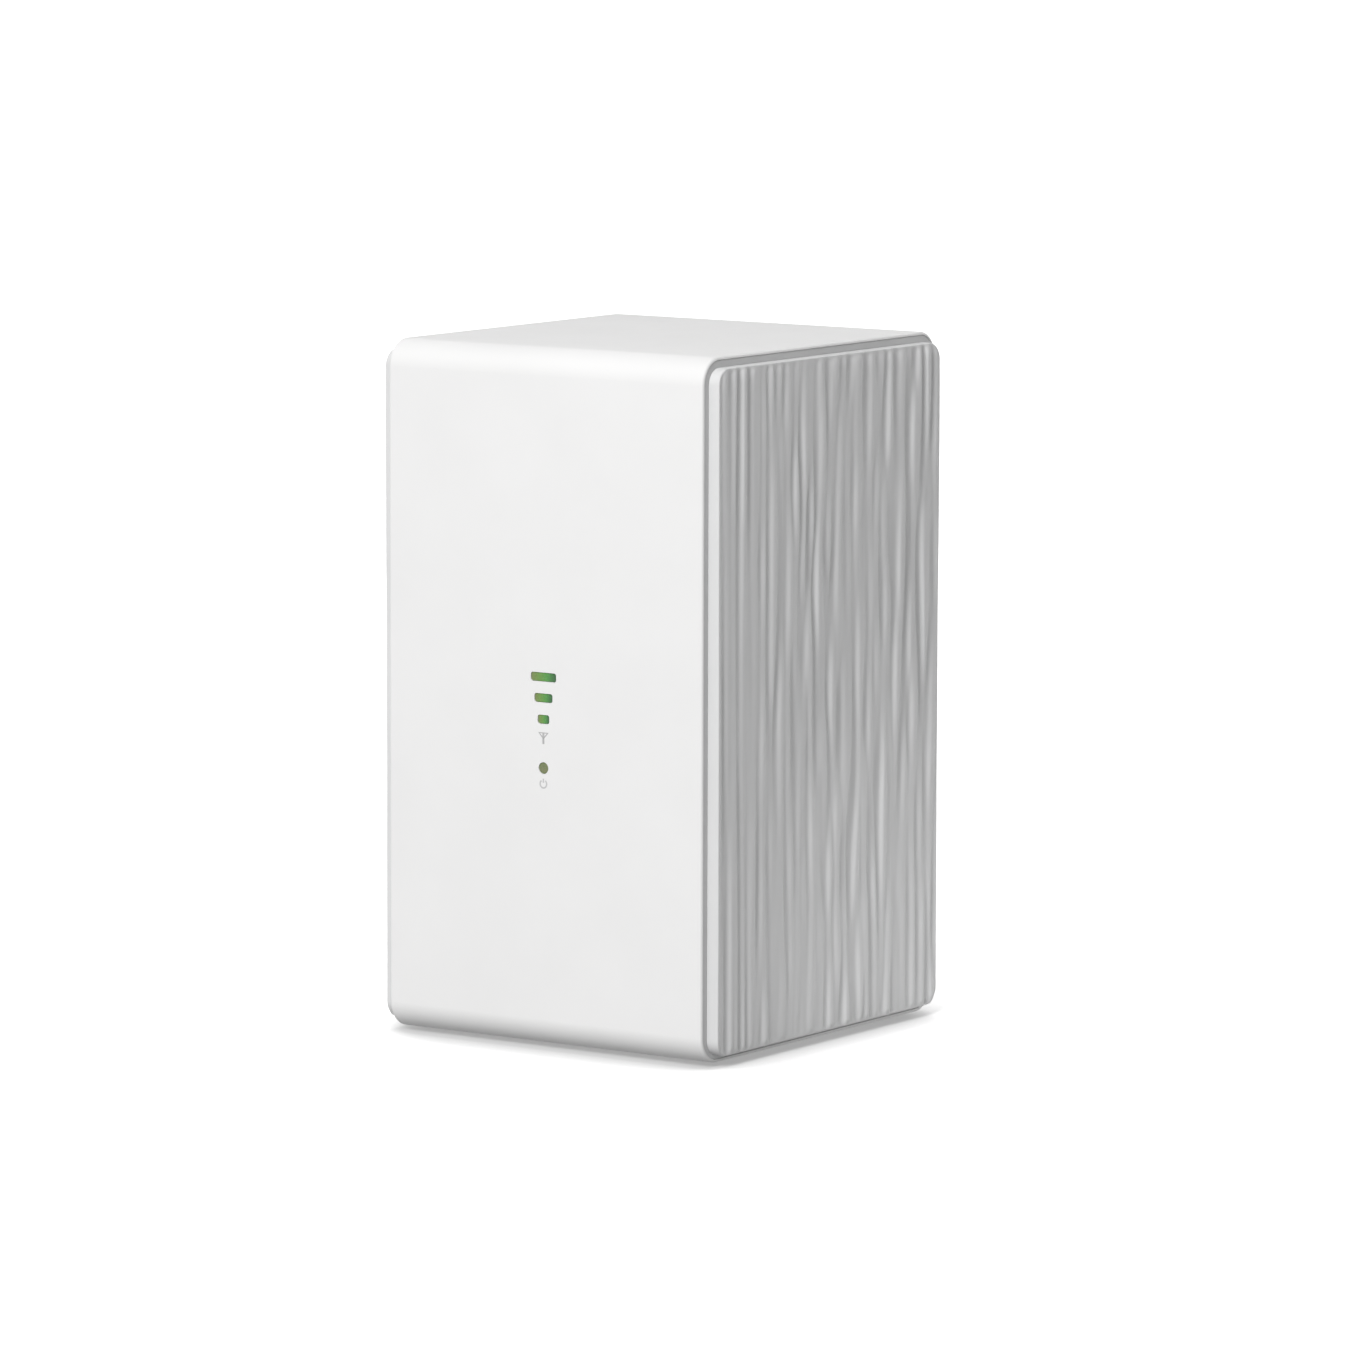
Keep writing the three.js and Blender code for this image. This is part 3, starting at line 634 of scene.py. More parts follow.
# ---------------------------------------------------------------- sleeve
GUIDE_FLANGE = 0.7 * MM  # what a light guide hides behind the sleeve's wall
GUIDE_CORNER = 0.45 * MM
GUIDE_GAP = 0.07 * MM
BOTTOM_GAP = 0.15 * MM
FOOT_GAP = 0.2 * MM
FOOT_RECESS = MM
SLEEVE_EDGE = 0.6 * MM
THROUGH = 4 * MM  # how far a cutter reaches into the sleeve, past its wall
PLATE_OPENING_INSET = 2.5 * MM  # what the sleeve hides of the socket plate on each side
PLATE_OPENING_CORNER = 2 * MM
BARS = ("long", "middle", "short")
GUIDES = [f"signal_light_guide_{bar}" for bar in BARS] + ["power_light_guide"]


def window(node):
    """(half width, half height, middle) of the part of a light guide that fills its hole."""
    lo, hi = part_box(node)
    half = (hi - lo) / 2
    return half.x - GUIDE_FLANGE, half.z - GUIDE_FLANGE, ((hi.x + lo.x) / 2, (hi.z + lo.z) / 2)


def window_loop(node, grow=0.0):
    half_x, half_z, middle = window(node)
    if node == "power_light_guide":
        return ring(half_x + grow, middle=middle)
    loop = rounded_loop(half_x + grow, half_z + grow, GUIDE_CORNER + grow, segments=6)
    return shifted(loop, middle)


def feet():
    """(number, middle, radius) of each rubber foot."""
    for i in range(1, 5):
        lo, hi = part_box(f"rubber_foot_{i}")
        yield i, (lo + hi) / 2, (hi.x - lo.x) / 2


def make_sleeve():
    end = SLEEVE_END
    edge = fillet(end - SLEEVE_EDGE, 0, end, SLEEVE_EDGE)
    right = edge + [(end, RIM), (end - SEAT, RIM), (end - SEAT, WALL)]
    left = [(-x, inset) for x, inset in reversed(right)]
    points, faces = loft([side_loop(x, inset) for x, inset in right + left], closed=True)
    sleeve = new_piece("sleeve", points, faces, WHITE)
    holes = []
    for node in GUIDES:
        holes.append(hole("y", window_loop(node, GUIDE_GAP), FRONT - OVERCUT, FRONT + THROUGH))
    lo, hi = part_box("socket_plate")
    half = [side / 2 - PLATE_OPENING_INSET for side in (hi.x - lo.x, hi.z - lo.z)]
    loop = shifted(rounded_loop(*half, PLATE_OPENING_CORNER), (0, (hi.z + lo.z) / 2))
    holes.append(hole("y", loop, REAR - THROUGH, REAR + OVERCUT))
    below = SLEEVE_LO.z - OVERCUT
    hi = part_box("bottom_cover")[1]
    loop = rounded_loop(hi.x + BOTTOM_GAP, hi.y + BOTTOM_GAP, BOTTOM_CORNER)
    holes.append(hole("z", loop, below, SLEEVE_LO.z + THROUGH))
    for _, middle, radius in feet():
        loop = ring(radius + FOOT_GAP, middle=(middle.x, middle.y))
        holes.append(hole("z", loop, below, SLEEVE_LO.z + FOOT_RECESS))
    cut(sleeve, holes)
    finish_mesh(sleeve, bevel=0.12 * MM)
    keep(sleeve, HOUSING, "white_case", "wrap_sleeve")


# ---------------------------------------------------------------- front lights and signs
GUIDE_FACE = ((0.10, -0.16), (0.13, -0.06), (0.22, 0.0))  # mm behind the skin, mm of growth
GUIDE_SEAT = FRONT + WALL + 0.1 * MM
GUIDE_FLANGE_THICK = 0.8 * MM
AERIAL_SIGN_DROP = 4.0 * MM
POWER_SIGN_DROP = 3.4 * MM
AERIAL_SIGN = [([(0, -1.3), (0, 1.05)], False), ([(-1.15, 1.1), (0, -0.1), (1.15, 1.1)], True)]
POWER_SIGN = [(arc(0.85, 125, 415, 24), False), ([(0, 0.25), (0, 1.15)], False)]


def make_guide(node, material, slot):
    """A clear guide whose face stands a hair behind the skin, with a soft edge."""
    body = window_loop(node)
    flange = window_loop(node, GUIDE_FLANGE)
    flange_end = GUIDE_SEAT + GUIDE_FLANGE_THICK
    places = [(FRONT + behind * MM, window_loop(node, grow * MM)) for behind, grow in GUIDE_FACE]
    places += [(GUIDE_SEAT, body), (GUIDE_SEAT, flange), (flange_end, flange), (flange_end, body)]
    places.append((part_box(node)[1].y, body))
    points, faces = loft([place_loop("y", loop, y) for y, loop in places])
    guide = finish_mesh(new_piece(f"{node}_lens", points, faces, material))
    keep(guide, HOUSING, slot, node)


def front_sign(name, strokes, width, under, drop, material):
    """Prints a sign on the sleeve, a way down from the middle of a light guide."""
    place = (0, FRONT, window(under)[2][1] - drop)
    sign(name, strokes, width, place, FORWARD, material, HOUSING, "white_case")


def make_front():
    for bar in BARS:
        node = f"signal_light_guide_{bar}"
        make_guide(node, lit_bar(f"green_bar_{bar}", window(node)[0]), "green_light")
    make_guide("power_light_guide", POWER_GLOW, "power_light")
    under = "signal_light_guide_short"
    front_sign("aerial_sign", AERIAL_SIGN, 0.5 * MM, under, AERIAL_SIGN_DROP, PRINT)
    under = "power_light_guide"
    front_sign("power_sign", POWER_SIGN, 0.36 * MM, under, POWER_SIGN_DROP, FAINT_PRINT)


# ---------------------------------------------------------------- end covers
END_SINK = 0.02 * MM  # the end cover's face lies this far behind the CAD's
END_GAP = 0.05 * MM
END_EDGE = 0.12 * MM
END_PLUG_START = COVER_LO.x + 4 * MM
END_PLUG_INSET = WALL + 0.1 * MM


def turned(points, side):
    """The left end is the right one turned half way round."""
    if side == "right":
        return points
    return [(-x, -y, z) for x, y, z in points]


def make_end_cover(side):
    face = COVER_HI.x - END_SINK
    lip = RIM + END_GAP
    path = [
        (END_PLUG_START, END_PLUG_INSET),
        (SLEEVE_END - SEAT - END_GAP, END_PLUG_INSET),
        (SLEEVE_END - SEAT + END_GAP, lip),
        *fillet(face - END_EDGE, lip, face, lip + END_EDGE, steps=3),
    ]
    points, faces = loft([side_loop(x, inset) for x, inset in path])
    cover = new_piece(f"end_cover_{side}_moulding", turned(points, side), faces, GREY)
    finish_mesh(cover)
    keep(cover, HOUSING, "grey_case", f"end_cover_{side}")


# ---------------------------------------------------------------- ribbed panels
PANEL_FACE = PANEL_HI.x
PANEL_BACK = PANEL_LO.x + 3.22 * MM  # where the CAD's slab starts; its pegs reach further in
PANEL_MID_Z = (PANEL_HI.z + PANEL_LO.z) / 2
PANEL_HALF_TALL = (PANEL_HI.z - PANEL_LO.z) / 2
LEDGE = HALF_DEPTH - PANEL_HI.y
PANEL_HALF_DEEP = HALF_DEPTH - LEDGE
PANEL_CORNER = CORNER - LEDGE
PANEL_ROUND = 0.35 * MM
PANEL_ROUND_STEPS = 5
PANEL_COLUMNS = 440
PANEL_ROWS = 170
PANEL_CORNER_ROWS = 15
PANEL_SHARP_ANGLE = 50


def waves(draw, count, middle, spread, lean, lowest, highest):
    """A sum of near-upright waves over y and z in mm, as (per mm across, per mm up, phase) rows."""
    across = np.clip(draw.normal(middle, spread, count), lowest, highest)
    up = draw.normal(0, lean, count)
    phase = draw.uniform(0, 2 * np.pi, count)
    return np.stack([across, up, phase], -1), middle


def wave_height(made, y, z):
    """Height of such a sum at (y, z): about -1 to 1, finer waves lower."""
    rows, middle = made
    height = np.zeros(np.broadcast(y, z).shape)
    for across, up, phase in rows:
        height += np.sin(2 * np.pi * (across * y + up * z) + phase) * middle / across
    return height / np.sqrt(len(rows) / 2)


RIB_DRAW = np.random.default_rng(11)
STRAIGHT_RIBS = waves(
    RIB_DRAW, count=60, middle=0.31, spread=0.085, lean=0.004, lowest=0.14, highest=0.52
)
BRAIDED_RIBS = waves(
    RIB_DRAW, count=130, middle=0.25, spread=0.085, lean=0.0105, lowest=0.10, highest=0.48
)
RIB_STRENGTH = waves(
    RIB_DRAW, count=16, middle=0.04, spread=0.015, lean=0.012, lowest=0.02, highest=0.07
)
STRAIGHT_SHARE = 0.78
BRAIDED_SHARE = 0.9
BRAID_START = -34  # y in mm; in front of it all ribs are straight
BRAID_SPAN = 24  # mm over which the braided ones take over
STRENGTH_SWING = 0.3
STRENGTH_RANGE = (0.7, 1.6)
RIB_WAVE = 0.28 * MM
RIB_LIMIT = 0.5 * MM
RIB_DEPTH = 0.35 * MM  # from the panel's face back to the ribs' mean height
EDGE_RIDGE = 0.25 * MM  # a low ridge along the front and back edge
EDGE_AT = PANEL_HALF_DEEP / MM
RIDGE_WIDTH = 0.7
RIM_CALM = 1.3 * MM  # ribs grow to their full height over this distance from the rounded edge
CALMEST = 0.25


def smooth(share):
    """A share from 0 to 1 with a soft start and end."""
    return share * share * (3 - 2 * share)


def rib_height(y, z, calm):
    """Height of the ribbed face round its mean: straight ribs at the front, braided ones behind."""
    share = smooth(np.clip((y - BRAID_START) / BRAID_SPAN, 0, 1))
    straight = np.cos(share * np.pi / 2) * wave_height(STRAIGHT_RIBS, y, z) * STRAIGHT_SHARE
    braided = np.sin(share * np.pi / 2) * wave_height(BRAIDED_RIBS, y, z) * BRAIDED_SHARE
    swing = STRENGTH_SWING * wave_height(RIB_STRENGTH, y, z)
    strength = np.clip(1.0 + swing, *STRENGTH_RANGE)
    ridge = EDGE_RIDGE * np.exp((np.abs(y) - EDGE_AT) / RIDGE_WIDTH)
    wave = (straight + braided) * strength * calm * RIB_WAVE
    return RIB_LIMIT * np.tanh(wave / RIB_LIMIT) + ridge


def panel_columns():
    """Places from -1 to 1 across a row, close together in the rounded edge."""
    turns = np.linspace(0, math.pi / 2, PANEL_ROUND_STEPS + 1)
    edge = [1 - PANEL_ROUND / PANEL_HALF_DEEP * (1 - math.sin(a)) for a in turns]
    inner = np.linspace(-edge[0], edge[0], PANEL_COLUMNS)
    return np.concatenate([[-s for s in reversed(edge[1:])], inner, edge[1:]])


def panel_rows():
    """(z, half width) of each row of the panel's face, round its corners."""
    end = PANEL_HALF_TALL - PANEL_CORNER
    lower = []
    for angle in np.linspace(math.pi / 2, 0, PANEL_CORNER_ROWS + 1)[:-1]:
        z = -PANEL_HALF_TALL + PANEL_CORNER - PANEL_CORNER * math.sin(angle)
        lower.append((z, PANEL_HALF_DEEP - PANEL_CORNER + PANEL_CORNER * math.cos(angle)))
    straight = [(z, PANEL_HALF_DEEP) for z in np.linspace(-end, end, PANEL_ROWS)]
    return lower + straight + [(-z, half) for z, half in reversed(lower)]


def edge_distance(y, z):
    """How far inside the panel's outline a point lies."""
    past_y = np.abs(y) - (PANEL_HALF_DEEP - PANEL_CORNER)
    past_z = np.abs(z) - (PANEL_HALF_TALL - PANEL_CORNER)
    outside = np.hypot(np.maximum(past_y, 0), np.maximum(past_z, 0))
    inside = np.minimum(np.maximum(past_y, past_z), 0)
    return PANEL_CORNER - outside - inside


def panel_face():
    """Points of the ribbed face, row by row, as an array of (x, y, z)."""
    columns = panel_columns()[None, :]
    rows = np.array(panel_rows())
    z = rows[:, :1] + 0 * columns
    y = rows[:, 1:] * columns
    distance = edge_distance(y, z)
    depth = np.clip(distance, 0, PANEL_ROUND)
    drop = PANEL_ROUND - np.sqrt(np.maximum(PANEL_ROUND**2 - (PANEL_ROUND - depth) ** 2, 0))
    calm = CALMEST + (1 - CALMEST) * smooth(np.clip((distance - PANEL_ROUND) / RIM_CALM, 0, 1))
    x = PANEL_FACE - RIB_DEPTH + rib_height(y / MM, z / MM, calm) - drop
    return np.stack([x, y, z + PANEL_MID_Z], -1)


def make_panel(side):
    face = panel_face()
    tall, wide = face.shape[:2]
    points = [tuple(p) for p in face.reshape(-1, 3)]
    quads = []
    for j in range(tall - 1):
        for i in range(wide - 1):
            a = j * wide + i
            quads.append((a, a + 1, a + wide + 1, a + wide))
    border = list(range(wide))
    border += [j * wide + wide - 1 for j in range(1, tall)]
    border += [(tall - 1) * wide + i for i in range(wide - 2, -1, -1)]
    border += [j * wide for j in range(tall - 2, 0, -1)]
    start, count = len(points), len(border)
    points += [(PANEL_BACK, points[i][1], points[i][2]) for i in border]
    for k in range(count):
        m = (k + 1) % count
        quads.append((border[k], start + k, start + m, border[m]))
    quads.append(tuple(start + k for k in reversed(range(count))))
    panel = new_piece(f"ribbed_panel_{side}_skin", turned(points, side), quads, SILVER)
    panel.data.set_sharp_from_angle(angle=math.radians(PANEL_SHARP_ANGLE))
    keep(panel, HOUSING, "silver_panel", f"ribbed_panel_{side}")


# ---------------------------------------------------------------- socket plate
PLATE_INSET = 2.8 * MM
PLATE_CORNER = 1.7 * MM
PLATE_EDGE = 0.35 * MM
SLOT_GAP = 0.25 * MM
BUTTON_GAP = 0.2 * MM
PIN_HOLE_RADIUS = 0.9 * MM


def make_plate():
    lo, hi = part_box("socket_plate")
    half = ((hi.x - lo.x) / 2 - PLATE_INSET, (hi.z - lo.z) / 2 - PLATE_INSET)
    middle = (0, (hi.z + lo.z) / 2)
    edge = fillet(hi.y - PLATE_EDGE, 0, hi.y, PLATE_EDGE, steps=4)
    loops = []
    for y, grow in [(lo.y, 0), *[(y, -inset) for y, inset in edge]]:
        flat = rounded_loop(half[0] + grow, half[1] + grow, PLATE_CORNER + grow)
        loops.append(place_loop("y", shifted(flat, middle), y))
    points, faces = loft(loops)
    plate = new_piece("socket_plate_moulding", points, faces, PLATE)
    holes = []
    for node in ("ethernet_jack_1", "ethernet_jack_2", "power_inlet"):
        low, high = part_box(node)
        gap = Vector((SLOT_GAP, 0, SLOT_GAP))
        holes.append(box_hole(low - gap, high + gap + Vector((0, OVERCUT, 0))))
    rounds = []
    for node in ("power_button", "pair_button"):
        low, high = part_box(node)
        rounds.append((node, (high.x - low.x) / 2 - BUTTON_FLANGE + BUTTON_GAP, LATHE_SEGMENTS))
    rounds.append(("reset_pin", PIN_HOLE_RADIUS, SMALL_SEGMENTS))
    for node, radius, segments in rounds:
        low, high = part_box(node)
        centre = (low + high) / 2
        loop = ring(radius, segments, (centre.x, centre.z))
        holes.append(hole("y", loop, lo.y - OVERCUT, hi.y + OVERCUT))
    cut(plate, holes)
    finish_mesh(plate, bevel=0.14 * MM)
    keep(plate, HOUSING, "grey_case", "socket_plate")


# ---------------------------------------------------------------- network sockets
JACK_FLOOR = 2.2 * MM  # where the mouth starts, above the jack's own side
JACK_MOUTH = 7 * MM
JACK_MOUTH_HALF = 5.95 * MM
JACK_DEPTH = 13 * MM
LATCH_STEPS = ((-1.0, 1.6, 3.2), (0, 2.8, 1.8))  # mm: from and to above the mouth, half width
LENS_START = 0.75 * MM
LENS_END = 3.25 * MM
LENS_MIDDLE = 5.7 * MM
LENS_HALF = 1.35 * MM
LENS_DEPTH = 0.8 * MM
LENS_PROUD = 0.1 * MM
LENS_GAP = 0.06 * MM
# side, colour, material and slot of the two lamps beside the latch
LENSES = ((-1, "amber", AMBER_LENS, "power_light"), (1, "green", GREEN_LENS, "green_light"))
CONTACTS = 8
CONTACT_PITCH = 1.02 * MM
CONTACT_HALF = 0.18 * MM
CONTACT_THICK = 0.22 * MM
# (up from the socket's floor, along from its face), in mm
CONTACT_PATH = (
    (0.08, -0.9),
    (0.12, -1.6),
    (0.5, -2.6),
    (2.6, -8.2),
    (2.75, -8.9),
    (2.5, -9.6),
    (0.1, -11.4),
)


def contact_strip(z, floor, face):
    """One springy contact: rises from the socket's floor towards the back, then bends down."""
    low, high = z - CONTACT_HALF, z + CONTACT_HALF
    loops = []
    for up, along in CONTACT_PATH:
        x, y = floor + up * MM, face + along * MM
        above = x + CONTACT_THICK
        loops.append([(x, y, low), (x, y, high), (above, y, high), (above, y, low)])
    return loft(loops)


def make_contacts(node, z, floor, face):
    points, faces = [], []
    for i in range(CONTACTS):
        more, quads = contact_strip(z + (i - (CONTACTS - 1) / 2) * CONTACT_PITCH, floor, face)
        faces += [tuple(k + len(points) for k in quad) for quad in quads]
        points += more
    contacts = finish_mesh(new_piece(f"{node}_contacts", points, faces, GOLD))
    keep(contacts, HOUSING, "tinned_steel")


def make_jack(number):
    node = f"ethernet_jack_{number}"
    lo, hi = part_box(node)
    z = (lo.z + hi.z) / 2
    face, back = hi.y, hi.y - JACK_DEPTH
    floor = lo.x + JACK_FLOOR
    top = floor + JACK_MOUTH
    steps = [(floor, top, JACK_MOUTH_HALF)]
    steps += [(top + start * MM, top + end * MM, half * MM) for start, end, half in LATCH_STEPS]
    holes = []
    for start, end, half in steps:
        holes.append(box_hole((start, back, z - half), (end, face + OVERCUT, z + half)))
    spaces = []
    for side, *_ in LENSES:
        middle = z + side * LENS_MIDDLE
        low = Vector((top + LENS_START, face - LENS_DEPTH, middle - LENS_HALF))
        high = Vector((top + LENS_END, face + LENS_PROUD, middle + LENS_HALF))
        holes.append(box_hole(low, high))
        spaces.append((low, high))
    body = block(f"{node}_body", lo, hi, BLACK)
    cut(body, holes)
    finish_mesh(body, bevel=0.15 * MM)
    keep(body, HOUSING, "black_plastic", node)
    gap = Vector((LENS_GAP, 0, LENS_GAP))
    for (_, colour, material, slot), (low, high) in zip(LENSES, spaces):
        lens = block(f"{node}_lamp_{colour}", low + gap, high - gap, material)
        finish_mesh(lens, bevel=0.2 * MM)
        keep(lens, HOUSING, slot)
    make_contacts(node, z, floor, face)


# ---------------------------------------------------------------- power inlet
# (radius, along from the face), in mm
INLET_BORE = (
    (0, -10),
    (3.1, -10),
    (3.1, -1.0),
    (3.2, -0.6),
    (3.2, -0.45),
    (3.7, 0.05),
    (3.7, 1),
    (0, 1),
)
INLET_SLEEVE = ((3.05, -9.6), (3.05, -1.3), (2.85, -1.5), (2.7, -5.5), (2.85, -9.6))
INLET_PIN_RADIUS = 1.0 * MM
INLET_PIN_START = -10.2 * MM
INLET_PIN_END = -1.0 * MM
INLET_PIN_ROUND = 0.6 * MM


def make_inlet():
    lo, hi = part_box("power_inlet")
    face = hi.y
    middle = middle_of("power_inlet")
    body = block("power_inlet_body", lo, hi, BLACK)
    cut(body, [lathe("cutter", "y", from_face(INLET_BORE, face), middle, BLACK)])
    finish_mesh(body, bevel=0.15 * MM)
    keep(body, HOUSING, "black_plastic", "power_inlet")
    start, tip = face + INLET_PIN_START, face + INLET_PIN_END
    profile = [(0, start), (INLET_PIN_RADIUS, start)]
    profile += [*rounded_rim(INLET_PIN_RADIUS, tip, INLET_PIN_ROUND, steps=6), (0, tip)]
    pin = finish_mesh(lathe("power_inlet_pin", "y", profile, middle, TIN, SMALL_SEGMENTS))
    keep(pin, HOUSING, "tinned_steel")
    loops = [
        place_loop("y", ring(radius, middle=middle), along)
        for radius, along in from_face(INLET_SLEEVE, face)
    ]
    points, faces = loft(loops, closed=True)
    contact = finish_mesh(new_piece("power_inlet_sleeve", points, faces, TIN))
    keep(contact, HOUSING, "tinned_steel")


# ---------------------------------------------------------------- buttons and signs at the back
STEM_RADIUS = 1.5 * MM
STEM_LENGTH = 0.25 * MM
FLANGE_END = 0.9 * MM
BUTTON_EDGE = 0.45 * MM
BUTTON_DISH = 0.18 * MM
DISH_SHARES = (0.85, 0.7, 0.5, 0.3, 0.12, 0)
PIN_RADIUS = 1.4 * MM
PIN_EDGE = 0.4 * MM
BUTTON_SIGN_FLAT = 0.5
POWER_BUTTON_SIGN = [(arc(1.15, 125, 415, 24), False), ([(0, 0.35), (0, 1.5)], False)]
PAIR_BUTTON_SIGN = [
    (arc(0.95, 20, 160, 12), False),
    (arc(0.95, 200, 340, 12), False),
    ([(-0.25, 0), (0.25, 0)], False),
]
NETWORK_SIGN = [
    ([(u - 0.6, v - 0.5), (u + 0.6, v - 0.5), (u + 0.6, v + 0.5), (u - 0.6, v + 0.5)], True)
    for u, v in ((0, 1.5), (-1.3, -1.2), (1.3, -1.2))
]
NETWORK_SIGN += [
    ([(0, 1.0), (0, 0.15)], False),
    ([(-1.3, -0.7), (-1.3, 0.15), (1.3, 0.15), (1.3, -0.7)], False),
]
INLET_SIGN = [
    (arc(1.7, 25, 335, 24), False),
    (arc(0.45, 0, 340, 12), True),
    ([(0.45, 0), (2.6, 0)], False),
]
RESET_SIGN = [(arc(1.0, 60, 370, 24), False), ([(1.5, 0.6), (1.0, 0.15), (0.55, 0.65)], False)]
# name, strokes, line width, x, and the CAD piece whose height it shares
PLATE_SIGNS = (
    ("network_sign_1", NETWORK_SIGN, 0.26 * MM, 10.6 * MM, "ethernet_jack_1"),
    ("network_sign_2", NETWORK_SIGN, 0.26 * MM, 10.6 * MM, "ethernet_jack_2"),
    ("inlet_sign", INLET_SIGN, 0.26 * MM, 9.2 * MM, "power_inlet"),
    ("reset_sign", RESET_SIGN, 0.24 * MM, 3.2 * MM, "reset_pin"),
)


def make_button(node, strokes, width):
    """A push button with a softly dished face, a flange and a stem, and the sign on it."""
    lo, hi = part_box(node)
    middle = middle_of(node)
    radius = (hi.x - lo.x) / 2 - BUTTON_FLANGE
    stem_end, flange_end = lo.y + STEM_LENGTH, lo.y + FLANGE_END
    profile = [(0, lo.y), (STEM_RADIUS, lo.y), (STEM_RADIUS, stem_end)]
    profile += [(radius + BUTTON_FLANGE, stem_end), (radius + BUTTON_FLANGE, flange_end)]
    profile += [(radius, flange_end), *rounded_rim(radius, hi.y, BUTTON_EDGE, steps=6)]
    for share in DISH_SHARES:
        profile.append(((radius - BUTTON_EDGE) * share, hi.y - BUTTON_DISH * (1 - share**2)))
    cap = finish_mesh(lathe(f"{node}_cap", "y", profile, middle, BUTTON))
    keep(cap, node, "silver_panel", node)
    place = (middle[0], hi.y - BUTTON_DISH, middle[1])
    dress = (REAR_PRINT, node, "silver_panel", BUTTON_SIGN_FLAT)
    sign(f"{node}_sign", strokes, width, place, BACKWARD, *dress)


def make_reset_pin():
    lo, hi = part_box("reset_pin")
    profile = [(0, lo.y), (PIN_RADIUS, lo.y)]
    profile += [*rounded_rim(PIN_RADIUS, hi.y, PIN_EDGE, steps=4), (0, hi.y)]
    pin = lathe("reset_pin_cap", "y", profile, middle_of("reset_pin"), BUTTON, SMALL_SEGMENTS)
    keep(finish_mesh(pin), "reset_pin", "grey_case", "reset_pin")


def make_rear():
    make_plate()
    make_jack(1)
    make_jack(2)
    make_inlet()
    make_button("power_button", POWER_BUTTON_SIGN, 0.3 * MM)
    make_button("pair_button", PAIR_BUTTON_SIGN, 0.26 * MM)
    make_reset_pin()
    for name, strokes, width, x, beside in PLATE_SIGNS:
        place = (x, PLATE_FACE, middle_of(beside)[1])
        sign(name, strokes, width, place, BACKWARD, REAR_PRINT, HOUSING, "grey_case")


# ---------------------------------------------------------------- underside
BOTTOM_EDGE = 0.3 * MM
BOTTOM_THICK = 1.1 * MM
VENT_PLACES = (-12, -6, 0, 6, 12)
VENT_HALF = (12 * MM, 1.0 * MM)
VENT_CORNER = 0.99 * MM
SCREW_HOLE_RADIUS = 2.8 * MM
# (out from the foot's radius, up from the floor), in mm
FOOT_PROFILE = (
    (0, 0.7),
    (-0.12, 0.35),
    (-0.4, 0.12),
    (-0.8, 0),
    (-1.3, 0),
    (-1.5, 0.2),
    (-2.0, 0.2),
    (-2.2, 0),
)
SHANK_RADIUS = 1.2 * MM
POINT_RADIUS = 0.5 * MM
POINT_LENGTH = 0.7 * MM
HEAD_THICK = 1.0 * MM
# (in from the head's radius, up from the head's face), in mm
HEAD_PROFILE = ((0, 0.45), (0.25, 0.15), (0.8, 0))
CROSS_ARM = 1.3 * MM
CROSS_HALF = 0.28 * MM
CROSS_DEPTH = 0.6 * MM


def make_bottom():
    lo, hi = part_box("bottom_cover")
    edge = fillet(lo.z + BOTTOM_EDGE, 0, lo.z, BOTTOM_EDGE, steps=4)
    loops = []
    for z, inset in [(lo.z + BOTTOM_THICK, 0), *edge]:
        flat = rounded_loop(hi.x - inset, hi.y - inset, BOTTOM_CORNER - inset)
        loops.append(place_loop("z", flat, z))
    points, faces = loft(loops)
    cover = new_piece("bottom_cover_moulding", points, faces, GREY)
    outlines = [shifted(rounded_loop(*VENT_HALF, VENT_CORNER), (0, y * MM)) for y in VENT_PLACES]
    for i in range(1, 5):
        middle = middle_of(f"cover_screw_{i}", "xy")
        outlines.append(ring(SCREW_HOLE_RADIUS, SMALL_SEGMENTS, middle))
    cut(cover, [hole("z", flat, lo.z - OVERCUT, hi.z + OVERCUT) for flat in outlines])
    finish_mesh(cover, bevel=0.15 * MM)
    keep(cover, HOUSING, "grey_case", "bottom_cover")
    for i in range(1, 5):
        make_cover_screw(f"cover_screw_{i}")
    for i, middle, radius in feet():
        low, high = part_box(f"rubber_foot_{i}")
        profile = [(0, high.z), (radius, high.z)]
        profile += [(radius + out * MM, low.z + up * MM) for out, up in FOOT_PROFILE]
        profile.append((0, low.z))
        foot = finish_mesh(lathe(f"foot_{i}", "z", profile, (middle.x, middle.y), RUBBER))
        keep(foot, HOUSING, "foot_rubber", f"rubber_foot_{i}")


def make_cover_screw(node):
    low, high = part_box(node)
    middle = middle_of(node, "xy")
    head = (high.x - low.x) / 2
    head_top = low.z + HEAD_THICK
    profile = [(0, high.z), (POINT_RADIUS, high.z), (SHANK_RADIUS, high.z - POINT_LENGTH)]
    profile += [(SHANK_RADIUS, head_top), (head, head_top)]
    profile += [(head - inwards * MM, low.z + up * MM) for inwards, up in HEAD_PROFILE]
    profile.append((0, low.z))
    screw = lathe(f"{node}_turned", "z", profile, middle, STEEL, SMALL_SEGMENTS)
    cross = []
    for half_x, half_y in ((CROSS_ARM, CROSS_HALF), (CROSS_HALF, CROSS_ARM)):
        corner = Vector((middle[0] - half_x, middle[1] - half_y, low.z - OVERCUT))
        other = Vector((middle[0] + half_x, middle[1] + half_y, low.z + CROSS_DEPTH))
        cross.append(box_hole(corner, other))
    cut(screw, cross)
    finish_mesh(screw)
    keep(screw, HOUSING, "screw_steel", node)


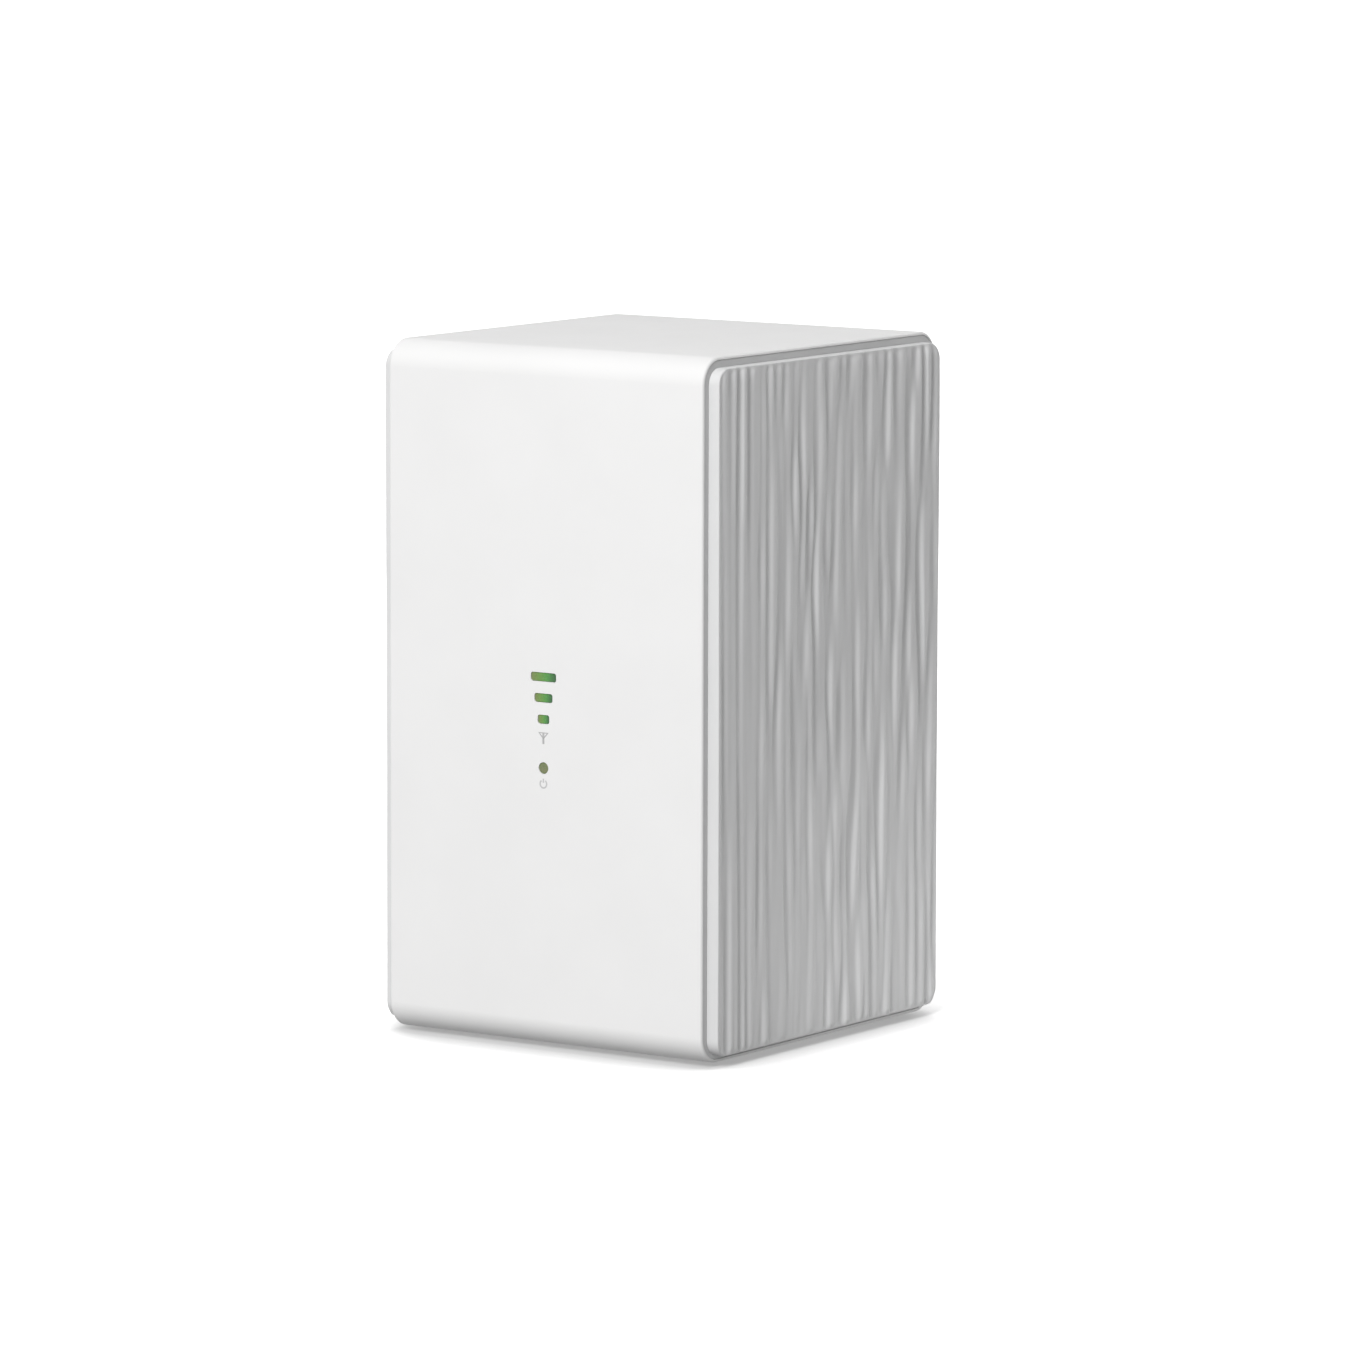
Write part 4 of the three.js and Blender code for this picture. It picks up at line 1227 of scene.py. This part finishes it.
# ---------------------------------------------------------------- the CAD's own pieces
INSIDE = {
    "inner_frame": FRAME,
    "main_board": BOARD,
    "light_board": BOARD,
    "board_screw": STEEL,
    "light_board_screw": STEEL,
    "processor_chip": CHIP,
    "ethernet_transformer": CHIP,
    "thermal_pad": PAD,
    "heatsink": ALUMINIUM,
    "input_capacitor": ALUMINIUM,
    "shield_can": TIN,
    "power_switch": CHIP,
    "pair_switch": CHIP,
    "reset_switch": CHIP,
    "light_baffle": BLACK,
    "signal_lamp": LAMP,
    "power_lamp": LAMP,
    "light_ribbon": RIBBON,
    "ribbon_socket": RIBBON,
    "aerial": AERIAL,
    "aerial_lead": LEAD,
}


def dress_inside():
    """Gives each CAD piece still on show the material of the longest start of its name."""
    for name, node in nodes.items():
        starts = [start for start in INSIDE if name.startswith(start)]
        if not starts:
            continue
        node.data.materials.clear()
        node.data.materials.append(INSIDE[max(starts, key=len)])


# ---------------------------------------------------------------- floor
FLOOR_HALF = 30
FLOOR_DROP = -0.02 * MM
# reach and depth of the painted contact shadow on the floor
SHADE_REACH = 27 * MM
SHADE_RANGE = (0.35, 1.05)  # how open a place is where the shade is deepest, and where it ends
DEEPEST_SHADE = 0.5
PAPER_DRIFT = 0.4
FLOOR_GLOW = 0.6


def make_floor():
    """Pale paper with a painted contact shadow: darker only in the narrow gap under the object and
    close round its foot.
    """
    shader = Shader("floor_paper")
    # an occlusion reading paints the contact shadow into the paper's colour and its glow
    near = shader.add("ShaderNodeAmbientOcclusion")
    near.inputs["Distance"].default_value = SHADE_REACH
    shade = shader.add("ShaderNodeMapRange", interpolation_type="SMOOTHSTEP")
    shade.inputs["From Min"].default_value, shade.inputs["From Max"].default_value = SHADE_RANGE
    shade.inputs["To Min"].default_value = DEEPEST_SHADE
    shader.link(near.outputs["AO"], shade.inputs["Value"])
    tone = shader.add("ShaderNodeMix", data_type="RGBA", blend_type="MULTIPLY")
    tone.inputs["Factor"].default_value = 1
    paper = shader.ramp(shader.noise(PAPER_DRIFT), tint(0.90), tint(0.92))
    shader.link(paper, tone.inputs["A"])
    shader.link(shade.outputs["Result"], tone.inputs["B"])
    shader.drive("Base Color", tone.outputs["Result"])
    shader.drive("Emission Color", tone.outputs["Result"])
    shader.set(Roughness=1.0, Specular_IOR_Level=0.0, Emission_Strength=FLOOR_GLOW)
    corners = ((-1, -1), (1, -1), (1, 1), (-1, 1))
    points = [(FLOOR_HALF * x, FLOOR_HALF * y, FLOOR_DROP) for x, y in corners]
    floor = new_piece("floor", points, [(0, 1, 2, 3)], shader.material, smooth=False)
    floor.visible_diffuse = False


add_camera()
add_studio()
make_floor()
make_sleeve()
make_front()
for end_side in ("right", "left"):
    make_end_cover(end_side)
    make_panel(end_side)
make_rear()
make_bottom()
dress_inside()
